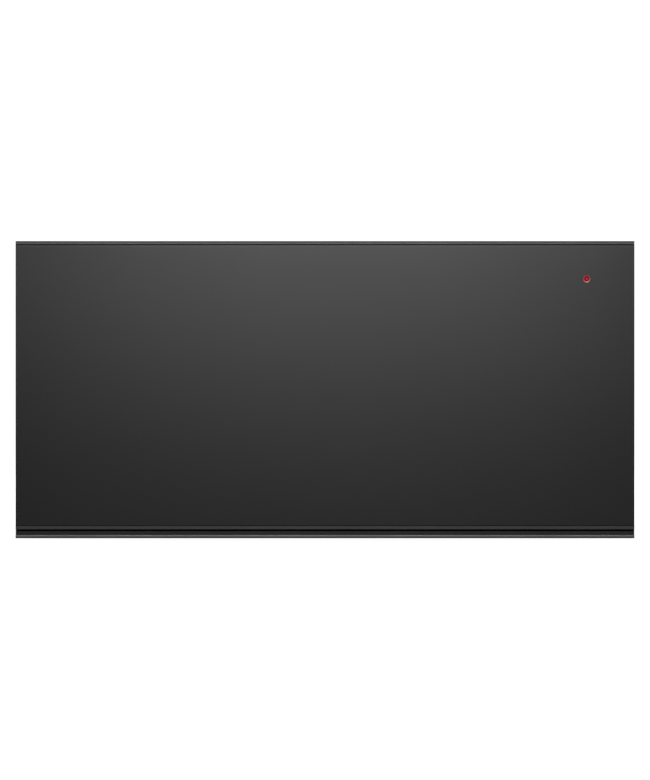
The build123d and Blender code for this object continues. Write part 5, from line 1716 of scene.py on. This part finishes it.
    def rear(self) -> None:
        """Rear panel with hooded louvres, stiffening beads and the hole of the cable gland."""
        x, z = self.rear_box.span(Axis.X), self.rear_box.span(Axis.Z)
        gland = self.gland_box.centre
        places = [Pressing((column, self.louvre_start + row * self.louvre_pitch), self.louvre,
                           self.louvre_corner, self.louvre_rise, self.louvre_slope, open_below=True, steps=3)
                  for column in self.louvre_columns for row in range(self.louvre_rows)]
        inner = (x[0] + self.rear_inset, x[1] - self.rear_inset)
        high = (z[1] - self.rear_top_bead[0], z[1] - self.rear_top_bead[1])
        low = (z[0] + self.rear_foot_bead[0], z[0] + self.rear_foot_bead[1])
        left, right = self.rear_field_starts
        for run, height in ((inner, high), ((inner[0], gland.x - self.gland_room), low),
                            ((right, inner[1]), self.rear_field), ((inner[0], left), self.rear_field)):
            places.append(self.stiffener(run, height, self.bead_corner, self.bead))
        places.append(Pressing.hole((gland.x, gland.z), self.gland_hole, steps=6))
        panel = Sheet(self.fold)
        panel.field(Axis.Y, self.rear_box.high.y, 1, rectangle(x, z), places)
        panel.finish("rear_sheet", ZINC, Role("housing", "zinc_steel", ("rear_panel",)), self.sheet)

    def stops(self) -> None:
        """Domed stops that the door meets."""
        bm = copy_node("stop_buffers")
        round_off(bm, edges_at(bm, lambda co: co.y < self.stop_box.low.y + SLACK), self.stop_dome, steps=3)
        settle("stops", bm, SILICONE, Role("housing", "silicone", ("stop_buffers",)))

    def build(self) -> None:
        """Make the housing's sheets and fixings."""
        self.sides()
        self.top()
        self.base()
        self.rear()
        self.stops()
        screws("housing_fixings", "housing_screws", "housing")


@dataclass
class Cavity:
    """Bright lining round the pan."""

    wall: float = 1.0 * MM
    fold: float = 3.0 * MM
    margin: float = 6.0 * MM
    lip: float = 5.0 * MM
    bead: float = -1.0 * MM
    bead_slope: float = 3.0 * MM
    bead_corner: float = 8.0 * MM
    bead_ends: float = 60.0 * MM
    bead_width: float = 20.0 * MM
    bead_heights: Point = (30.0 * MM, 90.0 * MM)

    def __post_init__(self) -> None:
        """Read the places from the frame."""
        self.box = Box.of("cavity_liner")

    def build(self) -> None:
        """Inverted U of sheet with lips turned out at its front."""
        y, z = self.box.span(Axis.Y), self.box.span(Axis.Z)
        lip = self.box.high.x
        inner, ceiling = lip - self.lip - self.wall, z[1] - self.wall
        run = (y[0] + self.bead_ends, y[1] - self.bead_ends)
        beads = [Pressing.between(run, (z[0] + low, z[0] + low + self.bead_width), self.bead_corner,
                                  self.bead, self.bead_slope) for low in self.bead_heights]
        sheet = Sheet(self.fold)
        sheet.field(Axis.Z, ceiling, -1, rectangle((-inner, inner), y), margin=self.margin)
        for sign in (-1, 1):
            sheet.field(Axis.X, sign * inner, -sign, rectangle(y, (z[0], ceiling)), beads, self.margin)
            reach = ordered(sign * inner, sign * lip)
            sheet.field(Axis.Y, y[0], -1, rectangle(reach, (z[0], ceiling)))
        sheet.finish("cavity_sheet", STAINLESS, Role("housing", "stainless", ("cavity_liner",)), self.wall)


@dataclass
class Controls:
    """What the right column carries: knob with its printed scale, rocker and lamp."""

    flutes: int = 24
    flute_depth: float = 0.022
    knob_play: float = 0.3 * MM
    skirt: float = 0.5 * MM
    skirt_height: float = 4.0 * MM
    pointer: tuple[float, ...] = (0.7 * MM, 6.5 * MM, 15.0 * MM, 0.4 * MM)  # half width, start, end and depth
    tick: Span = (17.7 * MM, 18.7 * MM)
    tick_half: float = 0.2 * MM
    figures: tuple[str, ...] = ("0", "30", "40", "50", "60", "70", "80")
    figure_turn: float = 45.0
    figure_radius: float = 20.6 * MM
    figure_size: float = 3.0 * MM
    mark_size: float = 5.0 * MM
    ink: float = 0.06 * MM
    rocker_edge: float = 0.6 * MM
    lamp_lens: float = 0.72

    def __post_init__(self) -> None:
        """Read the places from the frame."""
        self.fascia_box = Box.of("control_fascia")
        self.knob_box = Box.of("temperature_knob")
        self.lamp_box = Box.of("indicator_lamp")
        self.upright = Matrix.Rotation(math.radians(90.0), 4, "X")

    def knob(self) -> None:
        """Fluted knob with a skirt, and its pointer line."""
        box = self.knob_box
        back = self.fascia_box.low.y - self.knob_play
        depth, stem, radius = back - box.low.y, box.high.y - back, box.size.x / 2
        centre = Vector((box.centre.x, back, box.centre.z))
        grip = radius - self.skirt
        profile = [(0.0, -depth), (11.4 * MM, -depth), (11.9 * MM, -depth + 0.35 * MM), (12.4 * MM, -depth),
                   (grip - 1.3 * MM, -depth), (grip - 0.4 * MM, -depth + 0.4 * MM), (grip, -depth + 1.3 * MM),
                   (grip, -4.2 * MM), (radius, -3.4 * MM), (radius, -0.4 * MM), (radius - 0.4 * MM, 0.0),
                   (3.0 * MM, 0.0), (3.0 * MM, stem), (0.0, stem)]
        bm = bmesh.new()
        add_turned(bm, Axis.Y, centre, profile, 4 * self.flutes)
        flute(bm, centre, self.flutes, self.flute_depth, grip - 0.6 * MM, -self.skirt_height)
        role = Role("knob", "black_plastic", ("temperature_knob",))
        settle("knob_grip", bm, BLACK_PLASTIC, role, smooth=40.0)
        half, start, end, sink = self.pointer
        bm = bmesh.new()
        add_block(bm, (centre.x - half, box.low.y - self.ink, centre.z + start),
                  (centre.x + half, box.low.y + sink, centre.z + end))
        settle("knob_pointer", bm, INK, Role("knob", "light_plastic"))

    def figure(self, bm: BMesh, words: str, size: float, place: Matrix) -> None:
        """Add printed characters to a mesh.

        Args:
            bm: Mesh that gets them.
            words: The characters.
            size: Their height.
            place: Where the middle of the print goes and which way it faces.
        """
        curve = bpy.data.curves.new("figure", "FONT")
        curve.body = words
        curve.size = size
        curve.align_x, curve.align_y = "CENTER", "CENTER"
        curve.extrude = self.ink / 2
        curve.resolution_u = 3
        holder = bpy.data.objects.new("figure", curve)
        bpy.context.scene.collection.objects.link(holder)
        view = bpy.context.evaluated_depsgraph_get()
        mesh = bpy.data.meshes.new_from_object(holder.evaluated_get(view))
        mesh.transform(place)
        bm.from_mesh(mesh)
        bmesh.ops.remove_doubles(bm, verts=list(bm.verts), dist=0.01 * MM)
        bpy.data.objects.remove(holder)
        bpy.data.curves.remove(curve)
        bpy.data.meshes.remove(mesh)

    def scale(self) -> None:
        """Printed temperatures and ticks round the knob, clockwise from the top."""
        half = self.ink / 2
        middle = self.knob_box.centre
        middle.y = self.fascia_box.low.y - half
        bm = bmesh.new()
        for index, words in enumerate(self.figures):
            turn = math.radians(self.figure_turn * index)
            spot = middle + Vector((math.sin(turn), 0.0, math.cos(turn))) * self.figure_radius
            self.figure(bm, words, self.figure_size, Matrix.Translation(spot) @ self.upright)
            tick = add_block(bm, (-self.tick_half, -half, self.tick[0]), (self.tick_half, half, self.tick[1]))
            place = Matrix.Translation(middle) @ Matrix.Rotation(turn, 4, "Y")
            bmesh.ops.transform(bm, matrix=place, verts=tick)
        settle("knob_scale", bm, INK, Role("housing", "light_plastic"), smooth=20.0)

    def rocker(self) -> None:
        """Rocker with softened edges and its on and off marks."""
        bm = copy_node("power_rocker")
        ahead = [face for face in bm.faces if face.normal.y < -0.9]
        ahead.sort(key=lambda face: -face.calc_area())
        marks = [(face.calc_center_median(), face.normal.copy()) for face in ahead[:2]]
        marks.sort(key=lambda mark: mark[0].y)
        soften(bm, self.rocker_edge, steps=3)
        settle("rocker_cap", bm, BLACK_PLASTIC, Role("rocker", "black_plastic", ("power_rocker",)))
        bm = bmesh.new()
        for words, (spot, normal) in zip(("O", "I"), marks):
            turn = turned(-Axis.Y.unit, normal)
            place = Matrix.Translation(spot + normal * self.ink / 4) @ turn @ self.upright
            self.figure(bm, words, self.mark_size, place)
        settle("rocker_marks", bm, INK, Role("rocker", "light_plastic"), smooth=20.0)

    def lamp(self) -> None:
        """Black lamp holder with a red dome, which shines into the door's light guide."""
        box = self.lamp_box
        tip = Vector((box.centre.x, box.low.y, box.centre.z))
        radius, length = box.size.x / 2, box.size.y
        lens = self.lamp_lens * radius
        holder = [(0.0, 3.5 * MM), (lens, 3.5 * MM), (lens, 2.2 * MM), (radius - 0.4 * MM, 2.0 * MM),
                  (radius, 2.5 * MM), (radius, length), (0.0, length)]
        dome = [(0.0, 0.0), (0.5 * lens, 0.25 * MM), (0.87 * lens, 1.0 * MM), (lens, 2.0 * MM),
                (lens, 3.4 * MM), (0.0, 3.4 * MM)]
        glow = LitLens("lit_red_lamp", (0.3, 0.004, 0.004), 0.35, centre=tuple(tip), reach=lens,
                       core=(0.8, 0.03, 0.03))
        for name, finish, slot, nodes, profile in (
                ("lamp_holder", BLACK_PLASTIC, "black_plastic", ("indicator_lamp",), holder),
                ("lamp_dome", glow, "lamp_red", (), dome)):
            bm = bmesh.new()
            add_turned(bm, Axis.Y, tip, profile, 32)
            settle(name, bm, finish, Role("housing", slot, nodes), smooth=50.0)

    def build(self) -> None:
        """Make the controls."""
        self.knob()
        self.scale()
        self.rocker()
        self.lamp()


@dataclass(frozen=True)
class Eased:
    """A sub-part that keeps its solid's form, with its long sharp edges broken."""

    name: str
    node: str
    radius: float
    body: str = "housing"

    def build(self) -> None:
        """Make the eased copy in the node's own finish and slot."""
        bm = copy_node(self.node)
        soften(bm, self.radius)
        finish = NODE_FINISHES[self.node]
        settle(self.name, bm, finish, Role(self.body, SLOTS[finish], (self.node,)))


@dataclass(frozen=True)
class CatchSpring:
    """Spring of the catch, as short as the carriage leaves it when it is pushed in."""

    node: str = "latch_spring"

    def build(self) -> None:
        """Shorten the coil towards its rear end."""
        bm, box = copy_node(self.node), Box.of(self.node)
        for vert in bm.verts:
            vert.co.y = box.high.y + (vert.co.y - box.high.y) * (1.0 - PUSH_ROOM / box.size.y)
        settle("catch_spring", bm, SCREW_STEEL, Role("housing", "screw_steel", (self.node,)), smooth=50.0)


EASED = (
    Eased("carrier_pair", "carrier_brackets", 0.4 * MM, "drawer"),
    Eased("striker", "striker_blade", 0.4 * MM, "drawer"),
    Eased("fascia", "control_fascia", 0.8 * MM),
    Eased("column_cover", "left_column_cover", 0.8 * MM),
    Eased("rocker_frame", "rocker_housing", 0.3 * MM),
    Eased("switch_case", "selector_switch", 0.6 * MM),
    Eased("front_beam", "top_rail", 0.8 * MM),
    Eased("catch_case", "latch_housing", 0.6 * MM),
    Eased("catch_slider", "latch_carriage", 0.5 * MM, "catch"),
    Eased("terminal_strip", "terminal_block", 0.5 * MM),
)


@dataclass
class Runners:
    """Ball cages of the runners: a pressed strip, and bright balls in it."""

    ball_limit: float = 5.0 * MM
    ball_steps: int = 18
    reach: float = 1.01

    def cage(self, side: str, layer: str) -> None:
        """Part one cage into its strip and its balls.

        Args:
            side: left or right.
            layer: outer or inner.
        """
        node, body = f"{side}_{layer}_ball_cage", f"{side}_{layer}_cage"
        boxes = [box for box, _ in islands(copy_node(node)) if max(box.size) < self.ball_limit]
        strip, balls = copy_node(node), bmesh.new()
        inside = set()
        for box in boxes:
            radius = box.size.y / 2
            inside.update(vert for vert in strip.verts if (vert.co - box.centre).length < radius * self.reach)
            bmesh.ops.create_uvsphere(balls, u_segments=self.ball_steps, v_segments=self.ball_steps // 2,
                                      radius=radius, matrix=Matrix.Translation(box.centre))
        bmesh.ops.delete(strip, geom=list(inside), context="VERTS")
        settle(f"{side}_{layer}_strip", strip, ZINC, Role(body, "zinc_steel", (node,)))
        settle(f"{side}_{layer}_balls", balls, SCREW_STEEL, Role(body, "screw_steel"))

    def build(self) -> None:
        """Make all four cages."""
        for side in ("left", "right"):
            for layer in ("outer", "inner"):
                self.cage(side, layer)


@dataclass
class RearBay:
    """Cable gland at the back: a six-sided flange, a ribbed cap and a nut inside."""

    ribs: int = 20
    rib_depth: float = 0.035
    bore: float = 4.25 * MM
    neck: float = 7.9 * MM
    cap: float = 8.5 * MM
    nuts: tuple[tuple[float, Span], ...] = ((11.0 * MM, (0.0, 3.0 * MM)), (12.0 * MM, (-6.0 * MM, -1.0 * MM)))

    def __post_init__(self) -> None:
        """Read the places from the frame."""
        self.box = Box.of("cable_gland")
        self.wall = Box.of("rear_panel").high.y

    def build(self) -> None:
        """Turn the cap and its neck, press the ribs and add the two six-sided nuts."""
        spot = self.box.centre
        centre = Vector((spot.x, self.wall, spot.z))
        reach, inside = self.box.high.y - self.wall, self.box.low.y - self.wall
        bore, neck, cap = self.bore, self.neck, self.cap
        profile = [(bore, inside), (neck, inside), (neck, 2.9 * MM), (cap - 0.6 * MM, 3.0 * MM),
                   (cap, 3.5 * MM), (cap, reach - 1.2 * MM), (cap - 0.9 * MM, reach - 0.3 * MM),
                   (cap - 1.8 * MM, reach), (bore + 1.0 * MM, reach), (bore, reach - 0.8 * MM)]
        bm = bmesh.new()
        add_turned(bm, Axis.Y, centre, profile + profile[:1], 4 * self.ribs)
        flute(bm, centre, self.ribs, self.rib_depth, cap - 0.2 * MM)
        for radius, (start, end) in self.nuts:
            turns = [math.radians(60.0 * side) for side in range(6)]
            flats = [(spot.x + radius * math.cos(turn), spot.z + radius * math.sin(turn)) for turn in turns]
            add_prism(bm, Axis.Y, flats, (self.wall + start, self.wall + end),
                      holes=[((spot.x, spot.z), neck)], steps=32)
        settle("gland", bm, BLACK_PLASTIC, Role("housing", "black_plastic", ("cable_gland",)))


# ---------------------------------------------------------------- studio
@dataclass(frozen=True)
class Softbox:
    """One soft light."""

    name: str
    place: tuple[float, float, float]
    aim: tuple[float, float, float]
    size: tuple[float, float]
    watts: float

    def hang(self) -> None:
        """Add the light to the scene."""
        light = bpy.data.lights.new(self.name, "AREA")
        light.shape = "RECTANGLE"
        light.size, light.size_y = self.size
        light.energy = self.watts
        lamp = bpy.data.objects.new(self.name, light)
        lamp.location = self.place
        lamp.rotation_euler = (Vector(self.aim) - Vector(self.place)).to_track_quat("-Z", "Y").to_euler()
        lamp.visible_camera = False
        bpy.context.scene.collection.objects.link(lamp)


@dataclass
class Studio:
    """Pale floor, soft lights and the photograph's camera."""

    lens: float = 200.0
    sensor: float = 36.0
    picture_height: float = 0.95402
    sight_height: float = 0.18131
    clip: float = 50.0
    backdrop: float = 1.06
    ambient: float = 0.12
    surround: float = 0.78
    surround_span: Span = (-0.75, 0.1)
    floor_reach: float = 20.0
    floor_drop: float = 0.2 * MM
    floor_tones: Span = (0.08, 0.46)
    floor_span: Span = (-0.6, 0.2)
    front_glow: float = 0.93
    near_glow: float = 0.75
    far_gain: float = 1.1
    far_span: Span = (1.0, 3.0)
    softboxes: tuple[Softbox, ...] = (
        Softbox("key", (0.02, -2.6, 0.728), (0.0, -0.28, 0.2), (1.013, 0.761), 12.4),
        Softbox("overhead", (0.0, -0.05, 2.6), (0.0, -0.05, 0.0), (2.4, 2.4), 22.0),
        Softbox("left_fill", (-2.6, 1.4, 2.8), (0.0, 0.0, 0.2), (1.8, 1.8), 24.0),
        Softbox("right_fill", (2.6, 1.4, 2.8), (0.0, 0.0, 0.2), (1.8, 1.8), 24.0),
        Softbox("rear_fill", (0.4, 3.4, 2.2), (0.0, 0.2, 0.2), (1.8, 1.8), 15.0),
    )

    def camera(self) -> None:
        """Straight-on camera at the height of the front's middle."""
        distance = self.picture_height * self.lens / self.sensor
        data = bpy.data.cameras.new("photo_camera")
        data.lens, data.sensor_width = self.lens, self.sensor
        data.clip_end = self.clip
        camera = bpy.data.objects.new("photo_camera", data)
        camera.location = (0.0, cad_bounds[0][1] - distance, self.sight_height)
        camera.rotation_euler = (math.radians(90.0), 0.0, 0.0)
        bpy.context.scene.collection.objects.link(camera)
        bpy.context.scene.camera = camera

    def world(self) -> None:
        """White backdrop that gives only a low, even light."""
        world = bpy.data.worlds.new("studio")
        world.use_nodes = True
        tree = Tree(world.node_tree)
        toward = tree.node("SeparateXYZ", Vector=tree.node("TexCoord").outputs["Generated"])
        glow = tree.ranged(toward.outputs["Y"], self.ambient, self.surround, *self.surround_span)
        glow.node.interpolation_type = "SMOOTHSTEP"
        seen = tree.node("LightPath").outputs["Is Camera Ray"]
        strength = tree.node("Mix", Factor=seen, A=glow, B=self.backdrop).outputs["Result"]
        tree.feed(world.node_tree.nodes["Background"], Color=(1.0, 1.0, 1.0, 1.0), Strength=strength)
        bpy.context.scene.world = world

    def floor(self) -> None:
        """Pale floor that keeps only a breath of shadow near the object."""
        bm = bmesh.new()
        bmesh.ops.create_grid(bm, x_segments=4, y_segments=4, size=self.floor_reach)
        mesh = bpy.data.meshes.new("studio_floor")
        bm.to_mesh(mesh)
        bm.free()
        recipe = Recipe("pale_floor")
        place = recipe.node("SeparateXYZ", Vector=recipe.space)
        behind = recipe.ranged(place.outputs["Y"], 0.0, 1.0, *self.floor_span)
        dark, pale = ((tone, tone, tone) for tone in self.floor_tones)
        far = recipe.ranged(recipe.length(recipe.space), 1.0, self.far_gain, *self.far_span)
        near = recipe.ranged(behind, self.front_glow, self.near_glow, 0.0, 1.0)
        seen = recipe.node("LightPath").outputs["Is Camera Ray"]
        glow = recipe.combined(seen, recipe.combined(far, near, "MULTIPLY"), "MULTIPLY")
        recipe.set(Base_Color=recipe.ramp(behind, (0.0, dark), (1.0, pale)), Roughness=0.95,
                   Specular_IOR_Level=0.0, Emission_Color=(1.0, 1.0, 1.0, 1.0), Emission_Strength=glow)
        mesh.materials.append(recipe.material)
        floor = bpy.data.objects.new("studio_floor", mesh)
        floor.location.z = -self.floor_drop
        bpy.context.scene.collection.objects.link(floor)

    def build(self) -> None:
        """Set up the camera, the white surround, the floor and the lights."""
        view = bpy.context.scene.view_settings
        view.view_transform = "Standard"
        view.look = "None"
        self.camera()
        self.world()
        self.floor()
        for softbox in self.softboxes:
            softbox.hang()
        log.info("studio ready")


def main() -> None:
    """Build every sub-assembly in order, then the studio."""
    dress_nodes()
    for assembly in (DoorFront(), DoorTray(), Drawer(), Housing(), Cavity(), Controls(), *EASED,
                     CatchSpring(), Runners(), RearBay(), Studio()):
        log.info("building %s", type(assembly).__name__)
        assembly.build()


if __name__ == "__main__":
    main()
